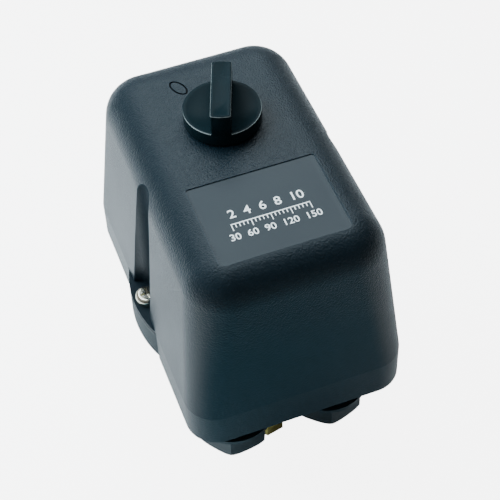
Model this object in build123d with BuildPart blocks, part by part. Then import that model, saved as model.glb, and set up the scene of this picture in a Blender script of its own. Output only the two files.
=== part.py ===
from math import cos, radians, sin, sqrt, tan
import os

from build123d import *

os.makedirs("parts", exist_ok=True)

# Frame: millimetres, +Z up. The origin is the centre of the pressure port's mouth.
# -Y is the cable-gland end, +Y the knob end of the cover.

# ---- driving dimensions -------------------------------------------------------------
RUN = 0.05              # radial running fit
GAP = 0.3               # clearance between pieces that pass each other
SEAT_FIT = 0.02         # radial fit of what is screwed, pressed or riveted in
SCREW_FIT = 0.1         # radial clearance of a screw in its hole

COVER_W = 68.0          # cover across, at its lower edge
COVER_L = 101.2         # cover lengthwise, at its lower edge
COVER_H = 65.9
BAND_H = 12.0           # upright lower band of the cover
SIDE_DRAFT = 5.4        # degrees
END_DRAFT = 4.1         # degrees
CORNER_R = 9.7
TOP_CORNER_R = 13.0
TOP_ROUND = 11.4
WALL = 2.4

BOSS_H = 18.0           # pressure boss below the cover's lower edge
BOSS_AF = 24.0          # spanner size of the pressure boss
PORT_R = 5.72           # thread core of the quarter-inch pipe thread
PORT_DEPTH = 11.5

FLANGE_R = 36.6
PLATE_T = 1.5           # base plate thickness

FLUTE_R = 8.6           # screwdriver flutes in the cover's long sides
FLUTE_X = 36.7

KNOB_R = 11.6
KNOB_BAR = 5.9          # thickness of the grip bar
KNOB_AZ = 69.3          # direction of the grip bar as set, degrees from +X
OFF_AZ = 114.3          # direction of the off mark
MARK_DIST = 19.1        # off mark from the knob's axis
KNOB_TURN = OFF_AZ - KNOB_AZ

GLAND_TURN = {"left": 6.7, "right": 17.5}
GLAND_AF = 20.0
GLAND_THREAD_R = 8.0
GLAND_COLLAR_R = 12.8
GLAND_RIM_Z = 2.0       # lower rim of the gland nuts
CABLE_R = 5.0           # widest cable that the gland takes

TUBE_R = 3.0            # unloader tube
TUBE_NUT_AF = 10.0

M4_R = 2.0
M3_R = 1.5

# ---- worked-out levels --------------------------------------------------------------
SKIRT_Z = BOSS_H
BAND_Z = SKIRT_Z + BAND_H
TOP_Z = SKIRT_Z + COVER_H
PLATE_TOP = BAND_Z
PLATE_Z = PLATE_TOP - PLATE_T
ROOF_Z = TOP_Z - WALL


# ---- worked-out places, from the cover's two ends -------------------------------------
FRONT_Y = -COVER_L / 2
REAR_Y = COVER_L / 2
GLAND_Y = FRONT_Y + 14.1
GLAND_SPOTS = {"left": (-18.0, GLAND_Y), "right": (12.85, GLAND_Y - 0.1)}
VALVE_X, VALVE_Y = -4.0, FRONT_Y + 22.4
FLANGE_FLAT = -GLAND_Y - 11.7       # distance of the flange's front flat from the port axis
KNOB_Y = REAR_Y - 37.1
EAR_SCREW_X = FLANGE_R - 4.4        # flange screws that stand outside the cover
BACK_SCREW = (FLANGE_R - 12.1, 0.52 * FLANGE_R)
FRONT_SCREW = (FLANGE_R - 12.1, -0.44 * FLANGE_R)
FLANGE_SCREWS = [(-EAR_SCREW_X, 0), (EAR_SCREW_X, 0)]
FLANGE_SCREWS += [(way * x, y) for x, y in (BACK_SCREW, FRONT_SCREW) for way in (-1, 1)]
COVER_SCREWS = [(-24.5, REAR_Y - 9.6), (24.5, REAR_Y - 9.6), (-2.6, FRONT_Y + 6.0)]


def save(part, name):
    """Label a finished piece and write its file."""
    part.label = name
    export_step(part, f"parts/{name}.step")


def at(z):
    """Horizontal work plane at height z."""
    return Plane.XY.offset(z)


# ---- cover --------------------------------------------------------------------------
def cover_form(inset):
    """Body of the cover's outside, or of its hollow, with bevelled top edges, when inset is the wall."""
    width, length = COVER_W - 2 * inset, COVER_L - 2 * inset
    rise = COVER_H - BAND_H - inset
    top_width = width - 2 * rise * tan(radians(SIDE_DRAFT))
    top_length = length - 2 * rise * tan(radians(END_DRAFT))
    with BuildPart() as form:
        with BuildSketch(at(SKIRT_Z)):
            RectangleRounded(width, length, CORNER_R - inset)
        extrude(amount=BAND_H)
        with BuildSketch(at(BAND_Z)):
            RectangleRounded(width, length, CORNER_R - inset)
        with BuildSketch(at(TOP_Z - inset)):
            RectangleRounded(top_width, top_length, TOP_CORNER_R - inset)
        loft()
        rim = form.edges().group_by(Axis.Z)[-1]
        if inset:
            chamfer(rim, 0.6 * (TOP_ROUND - inset))
        else:
            fillet(rim, TOP_ROUND)
    return form.part


POST_R = 4.0            # posts inside the cover that take its screws
POST_BORE = 16.0
KNOB_HUB_R = 6.0
LABEL = (39.0, 30.4)    # smooth label field on the top
LABEL_Y = FRONT_Y + 26.4
LABEL_DEPTH = 0.3
MARK_DEPTH = 0.35

with BuildPart() as hollow:
    add(cover_form(WALL))
    with BuildSketch(at(BAND_Z)):
        with Locations((-FLUTE_X, 0), (FLUTE_X, 0)):
            Circle(FLUTE_R + WALL)
    extrude(amount=COVER_H, mode=Mode.SUBTRACT)
    # stiffening ring round the knob hole
    with BuildSketch(at(ROOF_Z - 1.2)):
        with Locations((0, KNOB_Y)):
            Circle(KNOB_HUB_R + 2.6)
            Circle(KNOB_HUB_R, mode=Mode.SUBTRACT)
    extrude(amount=WALL, mode=Mode.SUBTRACT)

with BuildPart() as cover:
    add(cover_form(0))
    add(hollow.part, mode=Mode.SUBTRACT)
    # flutes over the ear screws
    with BuildSketch(at(BAND_Z)):
        with Locations((-FLUTE_X, 0), (FLUTE_X, 0)):
            Circle(FLUTE_R)
    extrude(amount=COVER_H, mode=Mode.SUBTRACT)
    # round opening in the band for the pressure flange
    with BuildSketch(at(SKIRT_Z)):
        Circle(FLANGE_R + GAP)
    extrude(amount=BAND_H + GAP, mode=Mode.SUBTRACT)
    with BuildSketch(at(TOP_Z)):
        with Locations((0, KNOB_Y)):
            Circle(KNOB_HUB_R + RUN)
    extrude(amount=-WALL - 2, mode=Mode.SUBTRACT)
    # smooth label field, a hair below the grained top
    with BuildSketch(at(TOP_Z - LABEL_DEPTH)):
        with Locations((0, LABEL_Y)):
            RectangleRounded(*LABEL, 1.0)
    extrude(amount=1, mode=Mode.SUBTRACT)
    # off mark, a ring, its long axis towards the knob
    mark_x = MARK_DIST * cos(radians(OFF_AZ))
    mark_y = KNOB_Y + MARK_DIST * sin(radians(OFF_AZ))
    with BuildSketch(at(TOP_Z - MARK_DEPTH)):
        with Locations(Location((mark_x, mark_y, 0), (0, 0, OFF_AZ))):
            Ellipse(3.6, 2.05)
            Ellipse(2.95, 1.4, mode=Mode.SUBTRACT)
    extrude(amount=1, mode=Mode.SUBTRACT)
    # on mark, a bar
    with BuildSketch(at(TOP_Z - MARK_DEPTH)):
        with Locations((0, KNOB_Y)):
            with PolarLocations(15.6, 1, start_angle=KNOB_AZ):
                Rectangle(4.4, 0.7)
    extrude(amount=1, mode=Mode.SUBTRACT)
save(cover.part, "cover")

# threaded posts under the cover's roof, one over each cover screw
with BuildPart() as cover_posts:
    with BuildSketch(at(PLATE_TOP + 0.1)):
        with Locations(*COVER_SCREWS):
            Circle(POST_R)
    extrude(amount=ROOF_Z - PLATE_TOP)
    add(hollow.part, mode=Mode.INTERSECT)
    with BuildSketch(at(PLATE_TOP)):
        with Locations(*COVER_SCREWS):
            Circle(M3_R + RUN)
    extrude(amount=POST_BORE, mode=Mode.SUBTRACT)
save(cover_posts.part, "cover_posts")

# ---- knob, its cam and screw --------------------------------------------------------
DISC_Z = TOP_Z + 0.4
DISC_T = 4.6
BAR_H = 7.4             # grip bar above the disc
DISH_D = 1.7            # hollow of the disc round the grip bar
DISC_RIM = 0.7
BAR_TOP = DISC_Z + DISC_T + BAR_H
HUB_END = ROOF_Z - 1.6
CAM_R = 9.0
CAM_T = 3.0
CAM_PIN_R = 2.0
CAM_PIN_DIST = 6.0
CAM_PIN_AZ = -90 - KNOB_TURN / 2     # as set, so the pin swings evenly about -Y
STRAP_TOP = 63.0
SHEET = 2.0
OFF_Z = STRAP_TOP + SHEET + 0.3      # underside of the off lever
CAM_PIN_END = OFF_Z - 0.3
KEY = 5.0                            # square that locks the cam to the knob

knob_frame = Plane(origin=(0, KNOB_Y, 0), x_dir=(cos(radians(KNOB_AZ)), sin(radians(KNOB_AZ)), 0),
                   z_dir=(0, 0, 1))

with BuildPart() as knob:
    with BuildSketch(knob_frame.offset(DISC_Z)):
        Circle(KNOB_R)
    extrude(amount=DISC_T)
    fillet(knob.edges().group_by(Axis.Z)[-1], 0.7)
    # dished top: a shallow ball-shaped hollow inside the rim
    dish_half = KNOB_R - DISC_RIM
    dish_r = (dish_half ** 2 + DISH_D ** 2) / (2 * DISH_D)
    dish_mid = dish_r - DISH_D - sqrt(dish_r ** 2 - dish_half ** 2 / 4)
    with BuildSketch(Plane((0, KNOB_Y, DISC_Z + DISC_T), x_dir=(1, 0, 0), z_dir=(0, -1, 0))):
        with BuildLine():
            ThreePointArc((0, -DISH_D), (dish_half / 2, dish_mid), (dish_half, 0))
            Polyline((dish_half, 0), (0, 0), (0, -DISH_D))
        make_face()
    revolve(axis=Axis((0, KNOB_Y, 0), (0, 0, 1)), mode=Mode.SUBTRACT)
    with BuildSketch(knob_frame.offset(DISC_Z)):
        Rectangle(2 * KNOB_R, KNOB_BAR)
        Circle(KNOB_R - 0.15, mode=Mode.INTERSECT)
    extrude(amount=DISC_T + BAR_H)
    chamfer(knob.edges().group_by(Axis.Z)[-1], 0.5)
    # shallow hollow along the bar's top
    with BuildSketch(knob_frame.offset(BAR_TOP)):
        SlotOverall(2 * KNOB_R - 6, 1.8)
    extrude(amount=-0.35, mode=Mode.SUBTRACT)
    # small nick in the disc's rim
    with BuildSketch(knob_frame.offset(DISC_Z + DISC_T)):
        with PolarLocations(KNOB_R, 1, start_angle=-62):
            Circle(0.9)
    extrude(amount=-1.2, mode=Mode.SUBTRACT)
    with BuildSketch(knob_frame.offset(HUB_END)):
        Circle(KNOB_HUB_R)
    extrude(until=Until.NEXT)
    with BuildSketch(knob_frame.offset(HUB_END)):
        Rectangle(KEY, KEY)
    extrude(amount=-CAM_T + 0.2)
    with BuildSketch(knob_frame.offset(HUB_END - CAM_T + 0.2)):
        Circle(M3_R)
    extrude(amount=9, mode=Mode.SUBTRACT)
save(knob.part, "knob")

with BuildPart() as knob_cam:
    with BuildSketch(knob_frame.offset(HUB_END)):
        Circle(CAM_R)
        Rectangle(KEY + 2 * RUN, KEY + 2 * RUN, mode=Mode.SUBTRACT)
    extrude(amount=-CAM_T)
    chamfer(knob_cam.edges().filter_by(GeomType.CIRCLE), 0.4)
    with BuildSketch(at(HUB_END - CAM_T)):
        with Locations((0, KNOB_Y)):
            with PolarLocations(CAM_PIN_DIST, 1, start_angle=CAM_PIN_AZ):
                Circle(CAM_PIN_R)
    extrude(amount=CAM_PIN_END - HUB_END + CAM_T)
    chamfer(knob_cam.edges().group_by(Axis.Z)[0], 0.5)
save(knob_cam.part, "knob_cam")


def cross_screw(head_top, head_r, head_h, shank_r, length, spots, name, down=True):
    """Group of pan-head screws with cross recesses, heads up (or heads down)."""
    way = 1 if down else -1
    seat = head_top - way * head_h
    with BuildPart() as screws:
        with BuildSketch(at(seat)):
            with Locations(*spots):
                Circle(head_r)
        extrude(amount=way * head_h)
        crown = screws.edges().group_by(Axis.Z)[-1 if down else 0]
        fillet(crown, head_h * 0.45)
        with BuildSketch(at(head_top)):
            with Locations(*spots):
                Rectangle(head_r * 1.15, head_r * 0.28)
                Rectangle(head_r * 0.28, head_r * 1.15)
        extrude(amount=-way * head_h * 0.6, mode=Mode.SUBTRACT)
        with BuildSketch(at(seat)):
            with Locations(*spots):
                Circle(shank_r)
        extrude(amount=-way * length)
    save(screws.part, name)


def hex_nuts(z, af, height, bore_r, spots, name, turn=0.0, bevel=0.6):
    """Group of bevelled hexagon nuts standing on height z."""
    with BuildPart() as nuts:
        with BuildSketch(at(z)):
            with Locations(*spots):
                RegularPolygon(af / 2, 6, major_radius=False, rotation=turn)
        extrude(amount=height)
        chamfer(nuts.edges().filter_by(Plane.XY), bevel)
        with BuildSketch(at(z)):
            with Locations(*spots):
                Circle(bore_r)
        extrude(amount=height, mode=Mode.SUBTRACT)
    save(nuts.part, name)


cross_screw(HUB_END - CAM_T - 2.0, 3.6, 2.0, M3_R - RUN, 8.0, [(0, KNOB_Y)], "knob_screw", down=False)

# ---- base plate ---------------------------------------------------------------------
PLUNGER_HOLE_R = 13.4
EARTH_SPOT = (20.5, REAR_Y - 22.0)
STRAP_X = 22.0          # strap screws
STRAP_Y = -1.0

with BuildPart() as base_plate:
    with BuildSketch(at(PLATE_Z)):
        RectangleRounded(COVER_W - 2 * WALL - 2 * 0.4, COVER_L - 2 * WALL - 2 * 0.4, CORNER_R - WALL - 0.4)
        Circle(FLANGE_R)
        Circle(PLUNGER_HOLE_R, mode=Mode.SUBTRACT)
        with Locations(*GLAND_SPOTS.values()):
            Circle(GLAND_THREAD_R + SCREW_FIT, mode=Mode.SUBTRACT)
        with Locations((VALVE_X, VALVE_Y)):
            Circle(3.6, mode=Mode.SUBTRACT)
        with Locations(*FLANGE_SCREWS):
            Circle(M4_R + SCREW_FIT, mode=Mode.SUBTRACT)
        with Locations(*COVER_SCREWS):
            Circle(M3_R + SCREW_FIT, mode=Mode.SUBTRACT)
        with Locations(EARTH_SPOT, (-STRAP_X, STRAP_Y), (STRAP_X, STRAP_Y)):
            Circle(M3_R + SCREW_FIT, mode=Mode.SUBTRACT)
    extrude(amount=PLATE_T)
    fillet(base_plate.edges().group_by(Axis.Z)[-1].group_by(SortBy.LENGTH)[-1], 0.4)
save(base_plate.part, "base_plate")

# ---- pressure flange ----------------------------------------------------------------
DIAPHRAGM_R = 22.5
DIAPHRAGM_T = 1.2
CHAMBER_R = 15.0
CHAMBER_D = 3.0
FLANGE_POCKET = 5.5
VALVE_SCALLOP = 5.0     # radius of the clearance round the unloader valve
SPIGOT_R = 9.0
AIR_HOLE_R = 3.2
FLANGE_SCREW_DEPTH = 8.6


def flange_outline(inset=0.0):
    """Round flange with a flat front and a scallop for the unloader valve, in a sketch."""
    Circle(FLANGE_R - inset)
    with Locations((0, -FLANGE_FLAT + inset)):
        Rectangle(3 * FLANGE_R, FLANGE_R, align=(Align.CENTER, Align.MAX), mode=Mode.SUBTRACT)
    with Locations((VALVE_X, VALVE_Y)):
        Circle(VALVE_SCALLOP + inset, mode=Mode.SUBTRACT)


with BuildPart() as pressure_flange:
    with BuildSketch(at(SKIRT_Z)):
        flange_outline()
    extrude(amount=PLATE_Z - SKIRT_Z)
    fillet(pressure_flange.edges().group_by(Axis.Z)[0].sort_by(SortBy.LENGTH)[-1], 0.8)
    # cast pockets between ribs and screw bosses, open downwards
    with BuildSketch(at(SKIRT_Z)):
        flange_outline(3.4)
        Circle(17.0, mode=Mode.SUBTRACT)
        with Locations(*FLANGE_SCREWS):
            Circle(4.6, mode=Mode.SUBTRACT)
        with PolarLocations(0, 6, start_angle=30):
            Rectangle(2 * FLANGE_R, 2.6, mode=Mode.SUBTRACT)
    extrude(amount=FLANGE_POCKET, mode=Mode.SUBTRACT)
    with BuildSketch(at(PLATE_Z)):
        Circle(DIAPHRAGM_R)
    extrude(amount=-DIAPHRAGM_T, mode=Mode.SUBTRACT)
    with BuildSketch(at(PLATE_Z - DIAPHRAGM_T)):
        Circle(CHAMBER_R)
    extrude(amount=-CHAMBER_D, mode=Mode.SUBTRACT)
    with BuildSketch(at(SKIRT_Z)):
        Circle(SPIGOT_R + SEAT_FIT)
    extrude(amount=PLATE_Z - SKIRT_Z, mode=Mode.SUBTRACT)
    with BuildSketch(at(PLATE_Z)):
        with Locations(*FLANGE_SCREWS):
            Circle(M4_R + SEAT_FIT)
    extrude(amount=-FLANGE_SCREW_DEPTH, mode=Mode.SUBTRACT)
save(pressure_flange.part, "pressure_flange")

# hexagon boss with the pipe thread, its spigot pressed into the flange
with BuildPart() as port_boss:
    with BuildSketch(at(0)):
        RegularPolygon(BOSS_AF / 2, 6, major_radius=False, rotation=30)
    extrude(amount=SKIRT_Z)
    chamfer(port_boss.edges().group_by(Axis.Z)[0], 0.8)
    with BuildSketch(at(SKIRT_Z)):
        Circle(SPIGOT_R)
    extrude(amount=PLATE_Z - DIAPHRAGM_T - CHAMBER_D - SKIRT_Z)
    with BuildSketch(at(0)):
        Circle(PORT_R)
    extrude(amount=PORT_DEPTH, mode=Mode.SUBTRACT)
    with BuildSketch(at(0)):
        Circle(AIR_HOLE_R)
    extrude(amount=PLATE_Z, mode=Mode.SUBTRACT)
save(port_boss.part, "port_boss")

# ---- diaphragm and plunger ----------------------------------------------------------
with BuildPart() as diaphragm:
    low = PLATE_Z - DIAPHRAGM_T
    with BuildSketch(Plane.XZ):
        with BuildLine():
            Polyline((0, low), (11.6, low))
            ThreePointArc((11.6, low), (13.3, low - 1.7), (14.9, low))
            Polyline((14.9, low), (DIAPHRAGM_R - 0.1, low), (DIAPHRAGM_R - 0.1, PLATE_Z), (14.9, PLATE_Z))
            ThreePointArc((14.9, PLATE_Z), (13.3, PLATE_Z - 1.4), (11.6, PLATE_Z))
            Polyline((11.6, PLATE_Z), (0, PLATE_Z), (0, low))
        make_face()
    revolve(axis=Axis.Z)
save(diaphragm.part, "diaphragm")

LEVER_Z = 44.4          # underside of the main lever's web
PLUNGER_STEM_R = 4.0
with BuildPart() as plunger:
    foot = PLATE_Z + 0.05
    with BuildSketch(Plane.XZ):
        with BuildLine():
            Polyline((0, foot), (11.4, foot), (11.4, foot + 1.8), (9.0, foot + 2.8),
                     (PLUNGER_STEM_R, foot + 2.8), (PLUNGER_STEM_R, LEVER_Z - 2.2), (3.2, LEVER_Z - 1.1),
                     (0.6, LEVER_Z - 0.15), (0, LEVER_Z - 0.15), (0, foot))
        make_face()
    revolve(axis=Axis.Z)
save(plunger.part, "plunger")

# ---- frame, pivot pin and main lever ------------------------------------------------
TIP_Y = VALVE_Y + 1.2   # where the lever's tip bar crosses the contact carrier
PIVOT_Y, PIVOT_Z = TIP_Y + 17.0, 44.0
PIN_R = 2.0
LEVER_HALF = 12.6       # outside of the lever's cheeks
FRAME_IN = 13.2         # inside of the frame's cheeks
FRAME_OUT = FRAME_IN + SHEET
LEVER_END = REAR_Y - 5.6
CHEEK_TOP = 50.0
SPRING_Y = REAR_Y - 26.6
DIFF_Y = REAR_Y - 11.6
FRAME_FRONT = PIVOT_Y - 4.0
FRAME_BACK = 14.0       # back edge of the frame's cheeks
STUD_R = 3.0
DIFF_STUD_R = 2.0

with BuildPart() as frame:
    with BuildSketch(at(PLATE_TOP)):
        with Locations((0, (LEVER_END + FRAME_FRONT) / 2)):
            RectangleRounded(2 * FRAME_OUT, LEVER_END - FRAME_FRONT, 2)
        Circle(12.2, mode=Mode.SUBTRACT)
        with Locations((0, SPRING_Y)):
            Circle(STUD_R + SEAT_FIT, mode=Mode.SUBTRACT)
        with Locations((0, DIFF_Y)):
            Circle(DIFF_STUD_R + SEAT_FIT, mode=Mode.SUBTRACT)
    extrude(amount=SHEET)
    for x in (-FRAME_OUT, FRAME_IN):
        with BuildSketch(Plane.YZ.offset(x)) as cheek:
            with BuildLine():
                Polyline((FRAME_FRONT, PLATE_TOP), (FRAME_BACK, PLATE_TOP), (FRAME_BACK, PLATE_TOP + 6),
                         (0, CHEEK_TOP), (FRAME_FRONT, CHEEK_TOP), (FRAME_FRONT, PLATE_TOP))
            make_face()
            fillet(cheek.vertices().group_by(Axis.Y)[1:], 2.5)
            with Locations((PIVOT_Y, PIVOT_Z)):
                Circle(PIN_R + SEAT_FIT, mode=Mode.SUBTRACT)
        extrude(amount=SHEET)
save(frame.part, "frame")

with BuildPart() as pivot_pin:
    with BuildSketch(Plane.YZ.offset(-FRAME_OUT - 1.6)):
        with Locations((PIVOT_Y, PIVOT_Z)):
            Circle(PIN_R)
    extrude(amount=2 * FRAME_OUT + 3.2)
    with BuildSketch(Plane.YZ.offset(-FRAME_OUT - 1.6)):
        with Locations((PIVOT_Y, PIVOT_Z)):
            Circle(PIN_R + 1.2)
    extrude(amount=1.4)
    with BuildSketch(Plane.YZ.offset(FRAME_OUT + 0.2)):
        with Locations((PIVOT_Y, PIVOT_Z)):
            Circle(PIN_R + 1.2)
    extrude(amount=1.4)
    chamfer(pivot_pin.edges().filter_by(GeomType.CIRCLE).group_by(Axis.X)[0], 0.3)
save(pivot_pin.part, "pivot_pin")

TIP_Z = 59.4            # underside of the tip bar
WEB_TOP = LEVER_Z + SHEET
with BuildPart() as main_lever:
    for x in (-LEVER_HALF, LEVER_HALF - SHEET):
        with BuildSketch(Plane.YZ.offset(x)) as side:
            with BuildLine():
                Polyline((TIP_Y - 2, TIP_Z), (PIVOT_Y - 1.8, TIP_Z), (PIVOT_Y - 1.8, PIVOT_Z + 4),
                         (PIVOT_Y - 3.6, PIVOT_Z + 2), (PIVOT_Y - 3.6, PIVOT_Z - 3),
                         (PIVOT_Y + 2, PIVOT_Z - 4), (LEVER_END, LEVER_Z - 2), (LEVER_END, WEB_TOP),
                         (PIVOT_Y + 3.8, WEB_TOP), (PIVOT_Y + 2.8, WEB_TOP + 3.6),
                         (PIVOT_Y + 2.8, TIP_Z + SHEET), (TIP_Y - 2, TIP_Z + SHEET), (TIP_Y - 2, TIP_Z))
            make_face()
            with Locations((PIVOT_Y, PIVOT_Z)):
                Circle(PIN_R + RUN, mode=Mode.SUBTRACT)
        extrude(amount=SHEET)
    with BuildSketch(at(LEVER_Z)):
        with Locations((0, (LEVER_END + PIVOT_Y + 3.8) / 2)):
            Rectangle(2 * LEVER_HALF, LEVER_END - PIVOT_Y - 3.8)
        with Locations((0, SPRING_Y)):
            Circle(STUD_R + 1.0, mode=Mode.SUBTRACT)
        with Locations((0, DIFF_Y)):
            SlotOverall(8, 2 * DIFF_STUD_R + 1.4, rotation=90, mode=Mode.SUBTRACT)
        with Locations((-8, 6), (8, 6)):
            Circle(2.2, mode=Mode.SUBTRACT)
    extrude(amount=SHEET)
    with BuildSketch(at(TIP_Z)):
        with Locations((0, TIP_Y)):
            Rectangle(2 * LEVER_HALF, 4)
    extrude(amount=SHEET)
save(main_lever.part, "main_lever")

# ---- springs and their studs --------------------------------------------------------
def coil(radius, wire, turns, length, spot, z, name):
    """Compression spring with ground ends, standing on height z."""
    x, y = spot
    with BuildPart() as spring:
        with BuildLine(Plane((x, y, z))) as line:
            Helix(pitch=length / turns, height=length, radius=radius)
        start = line.line
        with BuildSketch(Plane(origin=start @ 0, z_dir=start % 0)):
            Circle(wire / 2)
        sweep(path=start)
        with BuildSketch(at(z)):
            with Locations((x, y)):
                Circle(radius + wire)
        extrude(amount=length, mode=Mode.INTERSECT)
    save(spring.part, name)


SEAT_R = 10.4
RANGE_R = 8.4           # mean radius of the range spring
RANGE_WIRE = 2.2
FOOT_Z = LEVER_Z + SHEET + 0.45
FOOT_TOP = FOOT_Z + 2.6
SPRING_TOP = ROOF_Z - 16.1
RANGE_NUT_Z = SPRING_TOP + 1.8

with BuildPart() as spring_foot:
    with BuildSketch(Plane.XZ) as section:
        with BuildLine():
            Polyline((STUD_R + 0.3, FOOT_Z), (STUD_R + 1.6, FOOT_Z), (STUD_R + 2.2, FOOT_Z + 1.1),
                     (SEAT_R, FOOT_Z + 1.1), (SEAT_R, FOOT_TOP), (RANGE_R - 1.4, FOOT_TOP),
                     (RANGE_R - 1.8, FOOT_TOP + 1.6), (STUD_R + 0.3, FOOT_TOP + 1.6), (STUD_R + 0.3, FOOT_Z))
        make_face()
    revolve(axis=Axis.Z)
spring_foot.part.position = (0, SPRING_Y, 0)
save(spring_foot.part, "spring_foot")

coil(RANGE_R, RANGE_WIRE, 4, SPRING_TOP - FOOT_TOP - 0.1, (0, SPRING_Y), FOOT_TOP + 0.05, "range_spring")

with BuildPart() as range_seat:
    with BuildSketch(at(SPRING_TOP)):
        with Locations((0, SPRING_Y)):
            Circle(SEAT_R)
            Circle(STUD_R + RUN, mode=Mode.SUBTRACT)
    extrude(amount=1.8)
    chamfer(range_seat.edges().group_by(Axis.Z)[-1], 0.4)
save(range_seat.part, "range_seat")

with BuildPart() as range_stud:
    with BuildSketch(at(PLATE_TOP)):
        with Locations((0, SPRING_Y)):
            Circle(STUD_R)
    extrude(amount=RANGE_NUT_Z + 7.3 - PLATE_TOP)
    chamfer(range_stud.edges().group_by(Axis.Z)[-1], 0.6)
    with BuildSketch(at(PLATE_TOP + SHEET)):
        with Locations((0, SPRING_Y)):
            RegularPolygon(5.0, 6, major_radius=False)
    extrude(amount=3.2)
save(range_stud.part, "range_stud")
hex_nuts(RANGE_NUT_Z + 0.1, 13.0, 5.4, STUD_R + RUN, [(0, SPRING_Y)], "range_nut")

DIFF_LOW = 53.0
DIFF_TOP = 65.0
with BuildPart() as differential_stud:
    with BuildSketch(at(PLATE_TOP)):
        with Locations((0, DIFF_Y)):
            Circle(DIFF_STUD_R)
    extrude(amount=40.5)
    chamfer(differential_stud.edges().group_by(Axis.Z)[-1], 0.4)
    with BuildSketch(at(PLATE_TOP + SHEET)):
        with Locations((0, DIFF_Y)):
            RegularPolygon(3.5, 6, major_radius=False)
    extrude(amount=2.4)
    with BuildSketch(at(DIFF_LOW - 1.2)):
        with Locations((0, DIFF_Y)):
            Circle(4.6)
    extrude(amount=1.2)
save(differential_stud.part, "differential_stud")
coil(3.6, 1.1, 5, DIFF_TOP - DIFF_LOW - 0.1, (0, DIFF_Y), DIFF_LOW + 0.05, "differential_spring")
hex_nuts(DIFF_TOP, 8.0, 3.2, DIFF_STUD_R + RUN, [(0, DIFF_Y)], "differential_nut", turn=15, bevel=0.4)

# ---- strap, off lever and its rivet --------------------------------------------------
STRAP_HALF = 19.0
STRAP_W = 10.0
STRAP_END = 25.0
strap_in = STRAP_HALF - SHEET
foot_top = PLATE_TOP + SHEET
with BuildPart() as strap:
    with BuildSketch(Plane.XZ.offset(-STRAP_Y - STRAP_W / 2)) as hat:
        with BuildLine():
            Polyline((-STRAP_END, PLATE_TOP), (-strap_in, PLATE_TOP), (-strap_in, STRAP_TOP),
                     (strap_in, STRAP_TOP), (strap_in, PLATE_TOP), (STRAP_END, PLATE_TOP),
                     (STRAP_END, foot_top), (STRAP_HALF, foot_top), (STRAP_HALF, STRAP_TOP + SHEET),
                     (-STRAP_HALF, STRAP_TOP + SHEET), (-STRAP_HALF, foot_top),
                     (-STRAP_END, foot_top), (-STRAP_END, PLATE_TOP))
        make_face()
    extrude(amount=STRAP_W)
    fillet(strap.edges().filter_by(Axis.Y).group_by(Axis.Z)[-1], 1.8)
    with BuildSketch(at(PLATE_TOP)):
        with Locations((-STRAP_X, STRAP_Y), (STRAP_X, STRAP_Y)):
            Circle(M3_R + SCREW_FIT)
    extrude(amount=SHEET, mode=Mode.SUBTRACT)
    with BuildSketch(at(STRAP_TOP)):
        with Locations((0, STRAP_Y)):
            Circle(PIN_R + SEAT_FIT)
    extrude(amount=SHEET, mode=Mode.SUBTRACT)
save(strap.part, "strap")
cross_screw(PLATE_TOP + SHEET + 2.0, 2.7, 2.0, M3_R, SHEET + PLATE_T - 0.1,
            [(-STRAP_X, STRAP_Y), (STRAP_X, STRAP_Y)], "strap_screws")

pin_x = CAM_PIN_DIST * cos(radians(CAM_PIN_AZ))
pin_y = KNOB_Y + CAM_PIN_DIST * sin(radians(CAM_PIN_AZ))
OFF_TILT = Vector(0, 1).get_signed_angle(Vector(pin_x, pin_y - STRAP_Y), Vector(0, 0, 1))
PIN_REACH = Vector(pin_x, pin_y - STRAP_Y).length
off_frame = Plane.XY.offset(OFF_Z).rotated((0, 0, OFF_TILT))
off_frame.origin = (0, STRAP_Y, OFF_Z)
off_end = PIN_REACH + 3.4
blade_end = STRAP_Y - TIP_Y - 1.0

with BuildPart() as off_lever:
    with BuildSketch(off_frame) as blade:
        with BuildLine():
            Polyline((-3, -blade_end), (3, -blade_end), (4.2, -2), (6, 5), (6, off_end), (-6, off_end),
                     (-6, 5), (-4.2, -2), (-3, -blade_end))
        make_face()
        fillet(blade.vertices().group_by(Axis.Y)[0], 1.0)
        with Locations((0, PIN_REACH + 1.4)):
            Rectangle(2 * CAM_PIN_R + 0.8, 8.8, mode=Mode.SUBTRACT)
        Circle(PIN_R + RUN, mode=Mode.SUBTRACT)
    extrude(amount=SHEET)
    # down-turned toe over the main lever's tip bar
    with BuildSketch(off_frame.offset(0)):
        with Locations((0, 1 - blade_end)):
            Rectangle(6, 2)
    extrude(amount=TIP_Z + SHEET + 0.5 - OFF_Z)
save(off_lever.part, "off_lever")

with BuildPart() as off_rivet:
    with BuildSketch(at(STRAP_TOP - 1.4)):
        with Locations((0, STRAP_Y)):
            Circle(PIN_R + 1.4)
    extrude(amount=1.4)
    with BuildSketch(at(STRAP_TOP)):
        with Locations((0, STRAP_Y)):
            Circle(PIN_R)
    extrude(amount=SHEET + 0.3 + SHEET + 0.2)
    with BuildSketch(at(OFF_Z + SHEET + 0.15)):
        with Locations((0, STRAP_Y)):
            Circle(PIN_R + 1.6)
    extrude(amount=1.4)
    fillet(off_rivet.edges().group_by(Axis.Z)[-1], 0.9)
save(off_rivet.part, "off_rivet")

# ---- contact block, carrier, bridges, terminals -------------------------------------
POLE_X = [-18.0, -6.0, 6.0, 18.0]
BLOCK_HALF = 24.8
BLOCK_D = 19.0
BLOCK_LOW, BLOCK_TOP = 38.0, 52.0
FIN_TOP = 56.6
POLE_W = 9.6
SLOT_D = 9.0            # chamber, front to back
STRIP_T = 1.0
LEG_W, LEG_D = 5.0, 3.0
BRIDGE_Z = 49.8
BRIDGE_T = 0.8
VALVE_LEG = POLE_X[1]   # the unloader valve sits under this pole
CARRIER_HALF = 21.5     # half length of the carrier's crossbar
BAR_D = 4.0
FOOT_LOW = BLOCK_LOW - 2.8

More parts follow.
